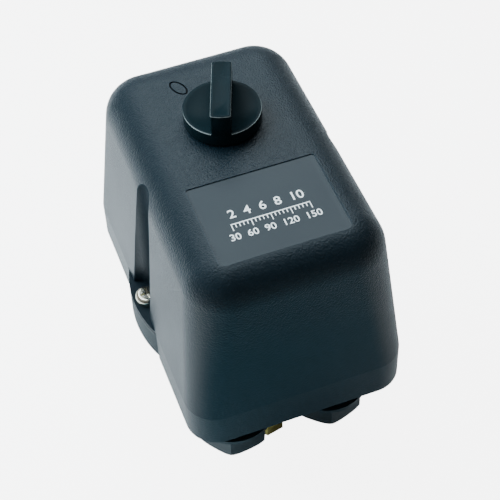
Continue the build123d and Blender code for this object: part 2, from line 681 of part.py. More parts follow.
with BuildPart() as contact_block:
    with BuildSketch(at(BLOCK_LOW)):
        with Locations((0, TIP_Y)):
            Rectangle(2 * BLOCK_HALF, BLOCK_D)
    extrude(amount=BLOCK_TOP - BLOCK_LOW)
    # fins between the poles
    with BuildSketch(at(BLOCK_TOP)):
        for x in (-BLOCK_HALF + 0.7, -12, 0, 12, BLOCK_HALF - 0.7):
            with Locations((x, TIP_Y)):
                Rectangle(1.4, BLOCK_D)
    extrude(amount=FIN_TOP - BLOCK_TOP)
    # notch in the fins for the carrier's crossbar
    with BuildSketch(at(FIN_TOP)):
        with Locations((0, TIP_Y)):
            Rectangle(2 * CARRIER_HALF + 2.4, BAR_D + 1.2)
    extrude(amount=-2.2, mode=Mode.SUBTRACT)
    with BuildSketch(at(BLOCK_LOW + 3)):
        for x in POLE_X:
            with Locations((x, TIP_Y)):
                Rectangle(POLE_W - 1.6, SLOT_D)
    extrude(amount=BLOCK_TOP, mode=Mode.SUBTRACT)
    # feet behind the cable glands, and the way through for the valve leg
    with BuildSketch(at(PLATE_TOP)):
        for x in (-16.4, 16.4):
            with Locations((x, TIP_Y + BLOCK_D / 2 - 2.4)):
                Rectangle(5, 4.8)
    extrude(amount=BLOCK_LOW - PLATE_TOP)
    with BuildSketch(at(BLOCK_LOW)):
        with Locations((VALVE_LEG, TIP_Y)):
            Rectangle(LEG_W + 1.0, LEG_D + 1.0)
    extrude(amount=4, mode=Mode.SUBTRACT)
    with BuildSketch(at(BLOCK_TOP)):
        for x in POLE_X:
            with Locations((x, TIP_Y - 7.0), (x, TIP_Y + 7.0)):
                Circle(1.7)
    extrude(amount=-7.5, mode=Mode.SUBTRACT)
save(contact_block.part, "contact_block")

with BuildPart() as contact_carrier:
    with BuildSketch(at(TIP_Z - 0.3)):
        with Locations((0, TIP_Y)):
            Rectangle(2 * CARRIER_HALF, BAR_D)
    extrude(amount=-2.2)
    with BuildSketch(at(TIP_Z - 2.5)):
        for x in POLE_X:
            with Locations((x, TIP_Y)):
                Rectangle(LEG_W, LEG_D)
    extrude(amount=BLOCK_LOW + 6.4 - TIP_Z + 2.5)
    # windows for the bridges and their springs
    with BuildSketch(Plane.XZ.offset(-TIP_Y - LEG_D)):
        for x in POLE_X:
            with Locations((x, BRIDGE_Z - 1.2)):
                Rectangle(3.4, 5.0)
    extrude(amount=2 * LEG_D, mode=Mode.SUBTRACT)
    # leg and foot that press the unloader valve's pin
    with BuildSketch(at(FOOT_LOW)):
        with Locations((VALVE_LEG, TIP_Y)):
            Rectangle(LEG_W, LEG_D)
    extrude(amount=BLOCK_LOW + 6.6 - FOOT_LOW)
    with BuildSketch(at(FOOT_LOW)):
        with Locations((VALVE_LEG + 1.0, TIP_Y - 0.8)):
            RectangleRounded(7.0, 6.0, 1.2)
    extrude(amount=1.6)
save(contact_carrier.part, "contact_carrier")

with BuildPart() as contact_bridges:
    with BuildSketch(at(BRIDGE_Z)):
        for x in POLE_X:
            with Locations((x, TIP_Y)):
                Rectangle(3.2, SLOT_D - 1.0)
    extrude(amount=BRIDGE_T)
    with BuildSketch(at(BRIDGE_Z + BRIDGE_T)):
        for x in POLE_X:
            with Locations((x, TIP_Y - 3.0), (x, TIP_Y + 3.0)):
                Circle(1.0)
    extrude(amount=0.4)
save(contact_bridges.part, "contact_bridges")

with BuildPart() as contact_springs:
    for x in POLE_X:
        with BuildLine(Plane((x, TIP_Y, BRIDGE_Z - 3.3))):
            turn = Helix(pitch=0.75, height=2.9, radius=1.05)
        with BuildSketch(Plane(origin=turn @ 0, z_dir=turn % 0)):
            Circle(0.22)
        sweep(path=turn)
save(contact_springs.part, "contact_springs")

with BuildPart() as terminals:
    for way in (-1, 1):
        with BuildSketch(at(BLOCK_TOP)):
            for x in POLE_X:
                with Locations((x, TIP_Y + way * 6.0)):
                    Rectangle(6.4, 6.8)
                with Locations((x, TIP_Y + way * 7.0)):
                    Circle(1.9, mode=Mode.SUBTRACT)
        extrude(amount=STRIP_T)
        with BuildSketch(at(BLOCK_TOP)):
            for x in POLE_X:
                with Locations((x, TIP_Y + way * 3.4)):
                    Circle(0.7)
        extrude(amount=-0.9)
save(terminals.part, "terminals")
cross_screw(BLOCK_TOP + STRIP_T + 2.5, 2.6, 2.4, 1.6, 7.5,
            [(x, TIP_Y + way * 7.0) for x in POLE_X for way in (-1, 1)], "terminal_screws")

# ---- screws -------------------------------------------------------------------------
cross_screw(PLATE_TOP + 2.7, 3.6, 2.7, M4_R, 9.4, FLANGE_SCREWS, "flange_screws")
cross_screw(PLATE_Z - 2.0, 3.0, 2.0, M3_R, POST_BORE - 1.0, COVER_SCREWS, "cover_screws", down=False)
cross_screw(PLATE_TOP + 3.3, 3.0, 2.4, M3_R, 2.3, [EARTH_SPOT], "earth_screw")
with BuildPart() as earth_washer:
    with BuildSketch(at(PLATE_TOP)):
        with Locations(EARTH_SPOT):
            Rectangle(7.6, 7.6)
            Circle(M3_R + SCREW_FIT, mode=Mode.SUBTRACT)
    extrude(amount=0.9)
    fillet(earth_washer.edges().filter_by(Axis.Z).group_by(SortBy.LENGTH)[-1], 0.3)
save(earth_washer.part, "earth_washer")

# ---- cable glands -------------------------------------------------------------------
NUT_HEX_H = 9.0
NUT_TOP = 17.4
NUT_CORE_R = 8.3        # inside of the nut's thread
COLLAR_T = 2.0
LOCKNUT_T = 4.0
BODY_R = 9.6
SHOULDER_R = 10.6
SHOULDER_T = 4.2
SEAL_R = 6.5
GLAND_HOLE_R = CABLE_R + 0.4
HEX_TOP = GLAND_RIM_Z + NUT_HEX_H
BODY_END = PLATE_TOP + 6.8
SEAL_TOP = PLATE_Z - 8.0

for side, (gx, gy) in GLAND_SPOTS.items():
    axis = Axis((gx, gy, 0), (0, 0, 1))
    upright = Plane((gx, gy, 0), x_dir=(1, 0, 0), z_dir=(0, -1, 0))

    with BuildPart() as gland_nut:
        with BuildSketch(at(GLAND_RIM_Z)):
            with Locations((gx, gy)):
                RegularPolygon(GLAND_AF / 2, 6, major_radius=False, rotation=GLAND_TURN[side])
        extrude(amount=NUT_HEX_H)
        # domed lower rim: keep what lies inside a bowl-shaped body
        with BuildSketch(upright):
            with BuildLine():
                Polyline((0, HEX_TOP), (GLAND_AF, HEX_TOP), (GLAND_AF, HEX_TOP - 0.5),
                         (11.6, GLAND_RIM_Z + 1.6))
                ThreePointArc((11.6, GLAND_RIM_Z + 1.6), (10.6, GLAND_RIM_Z + 0.5), (9.2, GLAND_RIM_Z))
                Polyline((9.2, GLAND_RIM_Z), (0, GLAND_RIM_Z), (0, HEX_TOP))
            make_face()
        revolve(axis=axis, mode=Mode.INTERSECT)
        with BuildSketch(upright):
            with BuildLine():
                Polyline((0, HEX_TOP), (11.2, HEX_TOP), (GLAND_COLLAR_R, HEX_TOP + 0.7),
                         (GLAND_COLLAR_R, HEX_TOP + COLLAR_T), (SHOULDER_R, HEX_TOP + COLLAR_T + 0.6),
                         (SHOULDER_R, NUT_TOP), (0, NUT_TOP), (0, HEX_TOP))
            make_face()
        revolve(axis=axis)
        with BuildSketch(upright):
            with BuildLine():
                Polyline((0, GLAND_RIM_Z), (GLAND_HOLE_R + 0.7, GLAND_RIM_Z),
                         (GLAND_HOLE_R, GLAND_RIM_Z + 0.7), (GLAND_HOLE_R, HEX_TOP - 2.2),
                         (NUT_CORE_R, HEX_TOP), (NUT_CORE_R, NUT_TOP), (0, NUT_TOP), (0, GLAND_RIM_Z))
            make_face()
        revolve(axis=axis, mode=Mode.SUBTRACT)
    save(gland_nut.part, f"gland_nut_{side}")

    with BuildPart() as gland_body:
        with BuildSketch(upright):
            with BuildLine():
                Polyline((SEAL_R + 0.1, HEX_TOP + 0.6), (NUT_CORE_R - 0.2, HEX_TOP + 1.4),
                         (NUT_CORE_R - 0.2, NUT_TOP + 0.2), (BODY_R, NUT_TOP + 0.2),
                         (BODY_R, PLATE_Z - SHOULDER_T), (SHOULDER_R, PLATE_Z - SHOULDER_T),
                         (SHOULDER_R, PLATE_Z), (GLAND_THREAD_R, PLATE_Z),
                         (GLAND_THREAD_R, BODY_END - 0.6), (GLAND_THREAD_R - 0.6, BODY_END),
                         (CABLE_R + 0.6, BODY_END), (CABLE_R + 0.6, PLATE_Z - 5), (SEAL_R + 0.1, PLATE_Z - 6),
                         (SEAL_R + 0.1, HEX_TOP + 0.6))
            make_face()
        revolve(axis=axis)
        # wrench flats on the body's shoulder
        with BuildSketch(at(NUT_TOP + 0.2)):
            with Locations((gx, gy)):
                Circle(12)
                RegularPolygon(9.0, 6, major_radius=False, rotation=GLAND_TURN[side], mode=Mode.SUBTRACT)
        extrude(amount=PLATE_Z - SHOULDER_T - NUT_TOP - 0.2, mode=Mode.SUBTRACT)
    save(gland_body.part, f"gland_body_{side}")

    with BuildPart() as gland_seal:
        with BuildSketch(upright):
            with BuildLine():
                Polyline((CABLE_R - 0.6, HEX_TOP - 1.4), (6.0, HEX_TOP - 1.4), (SEAL_R, HEX_TOP + 0.4),
                         (SEAL_R, SEAL_TOP), (CABLE_R - 0.6, SEAL_TOP), (CABLE_R - 0.6, HEX_TOP - 1.4))
            make_face()
        revolve(axis=axis)
    save(gland_seal.part, f"gland_seal_{side}")

    hex_nuts(PLATE_TOP + 0.05, 18.5, LOCKNUT_T, GLAND_THREAD_R + RUN, [(gx, gy)],
             f"gland_locknut_{side}", turn=GLAND_TURN[side] + 12)

# ---- unloader valve -----------------------------------------------------------------
VALVE_THREAD_R = 3.5
VALVE_FLANGE_R = 4.8
VALVE_BORE_R = 2.4
VALVE_PIN_R = 1.5
VALVE_AIR_R = 1.2
VALVE_SEAT_Z = 16.0
VALVE_END = PLATE_TOP + 3.4
TUBE_NUT_Z = -15.2
TUBE_NUT_H = 11.2
STEM_R = 3.1
VALVE_PIN_TOP = FOOT_LOW - 0.1
valve_axis = Axis((VALVE_X, VALVE_Y, 0), (0, 0, 1))
valve_plane = Plane((VALVE_X, VALVE_Y, 0), x_dir=(1, 0, 0), z_dir=(0, -1, 0))
stem_end = TUBE_NUT_Z + 4.5

with BuildPart() as valve_body:
    with BuildSketch(valve_plane):
        with BuildLine():
            Polyline((2.0, stem_end), (STEM_R, stem_end + 1), (STEM_R, VALVE_SEAT_Z - 1.5),
                     (4.4, VALVE_SEAT_Z - 0.4), (4.4, PLATE_Z - 3), (VALVE_FLANGE_R, PLATE_Z - 2.6),
                     (VALVE_FLANGE_R, PLATE_Z), (VALVE_THREAD_R, PLATE_Z), (VALVE_THREAD_R, VALVE_END),
                     (VALVE_PIN_R + 0.1, VALVE_END), (VALVE_PIN_R + 0.1, VALVE_SEAT_Z + 10),
                     (VALVE_BORE_R, VALVE_SEAT_Z + 9), (VALVE_BORE_R, VALVE_SEAT_Z),
                     (VALVE_AIR_R, VALVE_SEAT_Z - 1), (VALVE_AIR_R, stem_end + 4.5),
                     (2.0, stem_end + 4.1), (2.0, stem_end))
        make_face()
    revolve(axis=valve_axis)
save(valve_body.part, "valve_body")

with BuildPart() as valve_pin:
    low = VALVE_SEAT_Z + 5.2
    with BuildSketch(valve_plane):
        with BuildLine():
            Polyline((0, low), (2.0, low), (2.0, low + 1.2), (1.0, low + 2.2), (VALVE_PIN_R, low + 3.8),
                     (VALVE_PIN_R, VALVE_PIN_TOP - 0.6), (0.9, VALVE_PIN_TOP), (0, VALVE_PIN_TOP), (0, low))
        make_face()
    revolve(axis=valve_axis)
save(valve_pin.part, "valve_pin")
coil(1.5, 0.5, 4, 5.0, (VALVE_X, VALVE_Y), VALVE_SEAT_Z + 0.1, "valve_spring")
hex_nuts(PLATE_TOP + 0.05, 9.5, 2.4, VALVE_THREAD_R + RUN, [(VALVE_X, VALVE_Y)],
         "valve_locknut", turn=10, bevel=0.3)

with BuildPart() as tube_nut:
    with BuildSketch(at(TUBE_NUT_Z)):
        with Locations((VALVE_X, VALVE_Y)):
            RegularPolygon(TUBE_NUT_AF / 2, 6, major_radius=False, rotation=12)
    extrude(amount=TUBE_NUT_H)
    chamfer(tube_nut.edges().filter_by(Plane.XY), 0.6)
    with BuildSketch(valve_plane):
        with BuildLine():
            Polyline((0, TUBE_NUT_Z), (TUBE_R + 0.15, TUBE_NUT_Z), (TUBE_R + 0.15, TUBE_NUT_Z + 3.6),
                     (STEM_R + 0.5, TUBE_NUT_Z + 4.4), (STEM_R + 0.05, TUBE_NUT_Z + 5.4),
                     (STEM_R + 0.05, TUBE_NUT_Z + TUBE_NUT_H), (0, TUBE_NUT_Z + TUBE_NUT_H), (0, TUBE_NUT_Z))
        make_face()
    revolve(axis=valve_axis, mode=Mode.SUBTRACT)
save(tube_nut.part, "tube_nut")
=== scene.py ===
"""Air-compressor pressure switch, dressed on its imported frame."""

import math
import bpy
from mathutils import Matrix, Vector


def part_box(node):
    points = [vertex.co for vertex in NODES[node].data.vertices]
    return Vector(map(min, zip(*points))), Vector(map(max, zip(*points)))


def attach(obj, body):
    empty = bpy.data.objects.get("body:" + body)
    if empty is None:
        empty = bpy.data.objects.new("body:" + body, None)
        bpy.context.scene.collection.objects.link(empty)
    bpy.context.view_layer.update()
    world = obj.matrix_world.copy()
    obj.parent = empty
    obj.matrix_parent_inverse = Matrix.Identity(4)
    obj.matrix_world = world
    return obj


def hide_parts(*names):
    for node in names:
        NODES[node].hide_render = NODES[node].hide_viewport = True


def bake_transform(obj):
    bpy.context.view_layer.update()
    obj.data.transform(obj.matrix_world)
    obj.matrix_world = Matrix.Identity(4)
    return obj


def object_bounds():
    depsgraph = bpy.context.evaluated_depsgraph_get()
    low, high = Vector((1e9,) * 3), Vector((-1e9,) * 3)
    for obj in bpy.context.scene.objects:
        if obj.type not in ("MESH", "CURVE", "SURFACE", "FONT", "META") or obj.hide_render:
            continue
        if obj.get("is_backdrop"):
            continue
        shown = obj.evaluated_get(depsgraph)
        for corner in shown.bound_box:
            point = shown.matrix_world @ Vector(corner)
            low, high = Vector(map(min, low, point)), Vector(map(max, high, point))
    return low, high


bl_info = {
    "name": "Pressure Switch Dresser",
    "version": (1, 0, 0),
    "blender": (4, 5, 0),
    "location": "View3D > Sidebar > Switch",
    "description": "Finishes the pieces of a compressor pressure switch and sets its stage",
    "category": "Object",
}

import bpy
import numpy as np
from bpy.props import FloatProperty, FloatVectorProperty, PointerProperty
from bpy.types import Operator, Panel, PropertyGroup
from mathutils import Matrix, Vector

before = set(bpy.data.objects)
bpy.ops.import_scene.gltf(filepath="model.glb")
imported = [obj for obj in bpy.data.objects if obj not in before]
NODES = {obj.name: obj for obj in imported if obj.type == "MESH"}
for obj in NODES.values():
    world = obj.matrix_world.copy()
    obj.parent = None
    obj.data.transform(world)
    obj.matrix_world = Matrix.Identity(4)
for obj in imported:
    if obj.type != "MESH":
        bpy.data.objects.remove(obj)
MM = 0.001

# ---- places that several steps share --------------------------------------------------
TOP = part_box("cover")[1].z
FIELD_Z = TOP - 0.3 * MM          # floor of the smooth field on the cover's top
FIELD_BACK = -9.1 * MM
FIELD_SIDE = (20.5 * MM, 17.5 * MM)
FIELD_FRONT = (-42.0 * MM, -37.0 * MM)
MARKS_BETWEEN = (20.0 * MM, 36.5 * MM)
MARKS_HALF = 14.0 * MM
FLUTE_AXIS = 36.7 * MM
FLUTE_SKIN = (8.9 * MM, 8.65 * MM)

KNOB_CENTRE = (0.0, 13.5 * MM)
KNOB_TURN = math.radians(69.3)
DISC_LOW = TOP + 0.4 * MM
RIM_Z = DISC_LOW + 4.6 * MM
DISC_R = 11.6 * MM
BAR_HALF = 2.95 * MM


# ---- settings -----------------------------------------------------------------------
class StageSettings(PropertyGroup):
    """Camera, lights and floor."""

    azimuth: FloatProperty(
        name="Azimuth", description="Camera direction round the switch",
        default=math.radians(-18.45), subtype="ANGLE")
    elevation: FloatProperty(
        name="Elevation", description="Camera height above the horizon",
        default=math.radians(50.05), subtype="ANGLE")
    roll: FloatProperty(
        name="Roll", description="Camera turn about its own line of sight",
        default=math.radians(-2.53), subtype="ANGLE")
    distance: FloatProperty(
        name="Distance", description="Camera to the point it looks at",
        default=0.42384, unit="LENGTH")
    target: FloatVectorProperty(
        name="Target", description="Point that the camera looks at",
        default=(-0.0022, -0.0129, 0.0546), subtype="TRANSLATION")
    lens: FloatProperty(
        name="Lens", description="Focal length on a 36 mm sensor",
        default=102.86, unit="CAMERA")
    floor_drop: FloatProperty(
        name="Floor drop", description="Gap between the lowest piece and the floor",
        default=0.0006, unit="LENGTH")
    floor_lift: FloatProperty(
        name="Floor lift", description="White added to the floor where the camera sees it",
        default=10.0)
    # painted shade: the card settings place and colour a dark blue-tinted patch on the floor in front, seen
    # only in light and reflections
    card_place: FloatVectorProperty(
        name="Card place", description="Middle of the dark tinted patch in front", size=2,
        default=(-0.03, -0.24), subtype="TRANSLATION")
    card_reach: FloatVectorProperty(
        name="Card reach", description="Half the width and depth of the dark patch", size=2,
        default=(0.15, 0.19), subtype="TRANSLATION")
    painted_shade_colour: FloatVectorProperty(
        name="Card shade", description="Colour of the dark patch", default=(0.18, 0.43, 0.54),
        subtype="COLOR", min=0, max=1)
    light_tint: FloatVectorProperty(
        name="Light tint", description="Cool tint of the lights behind and at the left",
        default=(0.80, 0.93, 1.0), subtype="COLOR", min=0, max=1)
    rear_power: FloatProperty(
        name="Rear softbox", description="Power of the large light behind", default=9.0, unit="POWER")
    wash_power: FloatProperty(
        name="Floor wash", description="Power of the light on the floor at the left", default=3.6,
        unit="POWER")
    fill_power: FloatProperty(
        name="Front fill", description="Power of the weak light in front", default=0.9, unit="POWER")
    room_dim: FloatProperty(
        name="Room, dark end", description="Light from the front of the room", default=0.03)
    room_glow: FloatProperty(
        name="Room, bright end", description="Light from behind and above", default=0.35)


class FinishSettings(PropertyGroup):
    """Colours and grain of the main finishes."""

    cover_colour: FloatVectorProperty(
        name="Cover", description="Moulded cover",
        default=(0.0042, 0.0112, 0.0165), subtype="COLOR", min=0, max=1)
    gland_colour: FloatVectorProperty(
        name="Glands", description="Moulded cable glands",
        default=(0.003, 0.009, 0.012), subtype="COLOR", min=0, max=1)
    knob_colour: FloatVectorProperty(
        name="Knob", description="Glossy knob",
        default=(0.004, 0.011, 0.014), subtype="COLOR", min=0, max=1)
    flange_colour: FloatVectorProperty(
        name="Flange", description="Coat on the die casting",
        default=(0.004, 0.014, 0.020), subtype="COLOR", min=0, max=1)
    grain_size: FloatProperty(
        name="Grain size", description="Width of a pebble of the cover's grain",
        default=0.0005, unit="LENGTH")
    grain_depth: FloatProperty(
        name="Grain depth", description="Depth of the cover's grain",
        default=0.00016, unit="LENGTH")
    ink_colour: FloatVectorProperty(
        name="Ink", description="Print on the smooth field",
        default=(0.93, 0.95, 0.95), subtype="COLOR", min=0, max=1)


def stage_settings():
    return bpy.context.scene.switch_stage


def finish_settings():
    return bpy.context.scene.switch_finish


# ---- shader helpers -----------------------------------------------------------------
def linked(tree, source, target):
    """Join one socket to another."""
    tree.links.new(source, target)


def add_node(tree, kind, **values):
    """New shader node; values set its sockets by name or its own settings."""
    node = tree.nodes.new(kind)
    for key, value in values.items():
        name = key.replace("_", " ")
        if name in node.inputs:
            node.inputs[name].default_value = value
        else:
            setattr(node, key, value)
    return node


def group_tree(name, inputs, outputs):
    """Empty node group with float inputs {name: default} and outputs [(name, type)]."""
    tree = bpy.data.node_groups.new(name, "ShaderNodeTree")
    for label, default in inputs.items():
        socket = tree.interface.new_socket(label, in_out="INPUT", socket_type="NodeSocketFloat")
        socket.default_value = default
    for label, kind in outputs:
        tree.interface.new_socket(label, in_out="OUTPUT", socket_type=kind)
    return tree, tree.nodes.new("NodeGroupInput"), tree.nodes.new("NodeGroupOutput")


def math_node(tree, operation, a, b=0.0, clamp=False):
    """Math node on sockets or numbers; returns its output socket."""
    node = tree.nodes.new("ShaderNodeMath")
    node.operation = operation
    node.use_clamp = clamp
    for slot, value in enumerate((a, b)):
        if isinstance(value, (int, float)):
            node.inputs[slot].default_value = value
        else:
            linked(tree, value, node.inputs[slot])
    return node.outputs[0]


def grain_group():
    """Moulded pebble grain: a soft cell pattern under a fine haze, as a height from 0 to 1."""
    tree, given, out = group_tree(
        "Moulded grain", {"Pebble": 0.0009, "Haze": 0.5}, [("Height", "NodeSocketFloat")])
    place = add_node(tree, "ShaderNodeTexCoord")
    per_metre = math_node(tree, "DIVIDE", 1.0, given.outputs["Pebble"])
    cells = add_node(tree, "ShaderNodeTexVoronoi", feature="SMOOTH_F1", Smoothness=0.6, Randomness=1.0)
    linked(tree, place.outputs["Object"], cells.inputs["Vector"])
    linked(tree, per_metre, cells.inputs["Scale"])
    haze = add_node(tree, "ShaderNodeTexNoise", Detail=3.0, Roughness=0.6)
    linked(tree, place.outputs["Object"], haze.inputs["Vector"])
    linked(tree, math_node(tree, "MULTIPLY", per_metre, 2.6), haze.inputs["Scale"])
    pebbles = math_node(tree, "SUBTRACT", 1.0, cells.outputs["Distance"])
    both = math_node(tree, "MULTIPLY", haze.outputs["Fac"], given.outputs["Haze"])
    linked(tree, math_node(tree, "ADD", pebbles, both), out.inputs["Height"])
    return tree


def wear_group():
    """Rubbed edges: where the surface turns sharply, broken up by noise, as a mask."""
    tree, given, out = group_tree(
        "Rubbed edges", {"Reach": 0.0006, "Amount": 1.0}, [("Mask", "NodeSocketFloat")])
    soft = add_node(tree, "ShaderNodeBevel", samples=6)
    linked(tree, given.outputs["Reach"], soft.inputs["Radius"])
    shape = add_node(tree, "ShaderNodeNewGeometry")
    across = add_node(tree, "ShaderNodeVectorMath", operation="DOT_PRODUCT")
    linked(tree, soft.outputs["Normal"], across.inputs[0])
    linked(tree, shape.outputs["Normal"], across.inputs[1])
    turn = math_node(tree, "SUBTRACT", 1.0, across.outputs["Value"])
    place = add_node(tree, "ShaderNodeTexCoord")
    noise = add_node(tree, "ShaderNodeTexNoise", Scale=900.0, Detail=4.0)
    linked(tree, place.outputs["Object"], noise.inputs["Vector"])
    broken = math_node(tree, "MULTIPLY", turn, noise.outputs["Fac"])
    strong = math_node(tree, "MULTIPLY", broken, 14.0)
    linked(tree, math_node(tree, "MULTIPLY", strong, given.outputs["Amount"], clamp=True), out.inputs["Mask"])
    return tree


def mottle_group():
    """Slow uneven patches, as a mask around one half, for colour and roughness drift."""
    tree, given, out = group_tree(
        "Slow mottle", {"Patch": 0.012}, [("Mask", "NodeSocketFloat")])
    place = add_node(tree, "ShaderNodeTexCoord")
    noise = add_node(tree, "ShaderNodeTexNoise", Detail=5.0, Roughness=0.55)
    linked(tree, place.outputs["Object"], noise.inputs["Vector"])
    linked(tree, math_node(tree, "DIVIDE", 1.0, given.outputs["Patch"]), noise.inputs["Scale"])
    linked(tree, noise.outputs["Fac"], out.inputs["Mask"])
    return tree


GROUPS = {"grain": grain_group, "wear": wear_group, "mottle": mottle_group}
_built = {}


def use_group(tree, key, **values):
    """Place a shared effect in a material, with its own values."""
    if key not in _built:
        _built[key] = GROUPS[key]()
    node = tree.nodes.new("ShaderNodeGroup")
    node.node_tree = _built[key]
    for name, value in values.items():
        node.inputs[name].default_value = value
    return node


def shader_material(name, roughness, colour, metallic=0.0, **sockets):
    """Principled material; returns (material, tree, shader)."""
    material = bpy.data.materials.new(name)
    material.use_nodes = True
    tree = material.node_tree
    shader = tree.nodes["Principled BSDF"]
    shader.inputs["Base Color"].default_value = (*colour, 1.0)
    shader.inputs["Roughness"].default_value = roughness
    shader.inputs["Metallic"].default_value = metallic
    for key, value in sockets.items():
        shader.inputs[key.replace("_", " ")].default_value = value
    material.diffuse_color = (*colour, 1.0)
    return material, tree, shader


def colour_between(tree, mask, low, high):
    """Mix of two colours by a mask socket; returns the colour socket."""
    mix = tree.nodes.new("ShaderNodeMix")
    mix.data_type = "RGBA"
    mix.inputs["A"].default_value = (*low, 1.0)
    mix.inputs["B"].default_value = (*high, 1.0)
    linked(tree, mask, mix.inputs["Factor"])
    return mix.outputs["Result"]


def value_between(tree, mask, low, high):
    """Number from low to high as the mask goes from 0 to 1."""
    node = add_node(tree, "ShaderNodeMapRange")
    linked(tree, mask, node.inputs["Value"])
    node.inputs["To Min"].default_value = low
    node.inputs["To Max"].default_value = high
    return node.outputs["Result"]


def bumped(tree, shader, height, distance, strength=1.0):
    """Bump of the given depth in metres into the shader's normal."""
    bump = add_node(tree, "ShaderNodeBump", Strength=strength, Distance=distance)
    linked(tree, height, bump.inputs["Height"])
    linked(tree, bump.outputs["Normal"], shader.inputs["Normal"])
    return bump


def scaled(colour, factor):
    """Colour made lighter or darker."""
    return tuple(min(1.0, c * factor) for c in colour)


# ---- finishes -----------------------------------------------------------------------
def cover_plastic():
    """Satin moulding with a pebble grain, smooth on the label field, with painted shade in its grooves."""
    colour = tuple(finish_settings().cover_colour)
    material, tree, shader = shader_material("cover_plastic", 0.5, colour, IOR=1.38)
    grain = use_group(tree, "grain", Pebble=finish_settings().grain_size, Haze=0.6)
    mottle = use_group(tree, "mottle", Patch=0.02)
    wear = use_group(tree, "wear", Reach=0.0005, Amount=0.5)
    x, y, z = object_place(tree)
    field = label_field_mask(tree, x, y, z)
    shaded_groove = painted_groove_shade_mask(tree, x, y, z)
    flute = flute_mask(tree, x, y)
    tint = colour_between(tree, mottle.outputs["Mask"], scaled(colour, 0.92), scaled(colour, 1.10))
    rubbed = mixed(tree, wear.outputs["Mask"], tint, scaled(colour, 2.4))
    # painted shade: the floors of the sunk marks are coloured near-black
    shaded = mixed(tree, shaded_groove, rubbed, (0.001, 0.002, 0.003))
    linked(tree, shaded, shader.inputs["Base Color"])
    grained = math_node(tree, "SUBTRACT", 1.0, field)
    fade = value_between(tree, step_between(tree, z, 45.0 * MM, 76.0 * MM), 0.25, 1.0)
    height = math_node(tree, "MULTIPLY", math_node(tree, "MULTIPLY", grain.outputs["Height"], grained), fade)
    bumped(tree, shader, height, finish_settings().grain_depth)
    satin = value_between(tree, mottle.outputs["Mask"], 0.28, 0.38)
    smooth = math_node(tree, "ADD", satin, math_node(tree, "MULTIPLY", field, 0.11))
    dull = math_node(tree, "MAXIMUM", shaded_groove, flute)
    rough = math_node(tree, "MAXIMUM", smooth, math_node(tree, "MULTIPLY", dull, 0.98))
    linked(tree, rough, shader.inputs["Roughness"])
    return material


def object_place(tree):
    """Separate object coordinates, in metres."""
    place = add_node(tree, "ShaderNodeTexCoord")
    split = add_node(tree, "ShaderNodeSeparateXYZ")
    linked(tree, place.outputs["Object"], split.inputs["Vector"])
    return split.outputs["X"], split.outputs["Y"], split.outputs["Z"]


def step_between(tree, value, low, high):
    """Soft step of a value from 0 at low to 1 at high."""
    node = add_node(tree, "ShaderNodeMapRange", interpolation_type="SMOOTHSTEP")
    linked(tree, value, node.inputs["Value"])
    node.inputs["From Min"].default_value = low
    node.inputs["From Max"].default_value = high
    return node.outputs["Result"]


def mixed(tree, mask, base, colour):
    """Colour socket that goes from base to one colour as the mask goes from 0 to 1."""
    mix = tree.nodes.new("ShaderNodeMix")
    mix.data_type = "RGBA"
    linked(tree, mask, mix.inputs["Factor"])
    linked(tree, base, mix.inputs["A"])
    mix.inputs["B"].default_value = (*colour, 1.0)
    return mix.outputs["Result"]


def label_field_mask(tree, x, y, z):
    """1 on the smooth field of the cover's top, fading at its sides and front, 0 elsewhere."""
    across = step_between(tree, math_node(tree, "ABSOLUTE", x), *FIELD_SIDE)
    along = step_between(tree, y, *FIELD_FRONT)
    behind = math_node(tree, "LESS_THAN", y, FIELD_BACK)
    top = math_node(tree, "GREATER_THAN", z, TOP - 0.8 * MM)
    flat = math_node(tree, "MULTIPLY", across, along)
    return math_node(tree, "MULTIPLY", flat, math_node(tree, "MULTIPLY", behind, top))


def painted_groove_shade_mask(tree, x, y, z):
    """1 in the floors of the sunk marks beside the knob, below the top's own height, where the cover gets
    painted shade.
    """
    sunk = step_between(tree, z, TOP - 0.08 * MM, TOP - 0.2 * MM)
    near = math_node(tree, "GREATER_THAN", z, TOP - 0.6 * MM)
    behind = math_node(tree, "GREATER_THAN", y, MARKS_BETWEEN[0])
    central = math_node(tree, "LESS_THAN", math_node(tree, "ABSOLUTE", x), MARKS_HALF)
    inside = math_node(tree, "LESS_THAN", y, MARKS_BETWEEN[1])
    place = math_node(tree, "MULTIPLY", math_node(tree, "MULTIPLY", near, behind), inside)
    return math_node(tree, "MULTIPLY", math_node(tree, "MULTIPLY", sunk, central), place)


def flute_mask(tree, x, y):
    """Dull skin inside the screwdriver flutes, fading out in their rear half."""
    width = math_node(tree, "ABSOLUTE", x)
    side = math_node(tree, "GREATER_THAN", width, 26.0 * MM)
    apart = math_node(tree, "POWER", math_node(tree, "SUBTRACT", width, FLUTE_AXIS), 2.0)
    distance = math_node(tree, "SQRT", math_node(tree, "ADD", apart, math_node(tree, "POWER", y, 2.0)))
    inside = step_between(tree, distance, *FLUTE_SKIN)
    forward = step_between(tree, y, 9.0 * MM, 3.0 * MM)
    return math_node(tree, "MULTIPLY", math_node(tree, "MULTIPLY", side, inside), forward)


def plain_plastic(name, colour, roughness, depth=0.00002, grain_size=0.0005, IOR=1.46):
    """Moulded plastic with a faint skin, slow mottle and rubbed edges."""
    material, tree, shader = shader_material(name, roughness, colour, IOR=IOR)
    grain = use_group(tree, "grain", Pebble=grain_size, Haze=0.8)
    mottle = use_group(tree, "mottle", Patch=0.006)
    wear = use_group(tree, "wear", Reach=0.0003, Amount=0.6)
    tint = colour_between(tree, mottle.outputs["Mask"], scaled(colour, 0.85), scaled(colour, 1.18))
    rubbed = mixed(tree, wear.outputs["Mask"], tint, scaled(colour, 2.0))
    linked(tree, rubbed, shader.inputs["Base Color"])
    linked(tree, value_between(tree, mottle.outputs["Mask"], roughness * 0.85, roughness * 1.15),
           shader.inputs["Roughness"])
    bumped(tree, shader, grain.outputs["Height"], depth, 0.4)
    return material


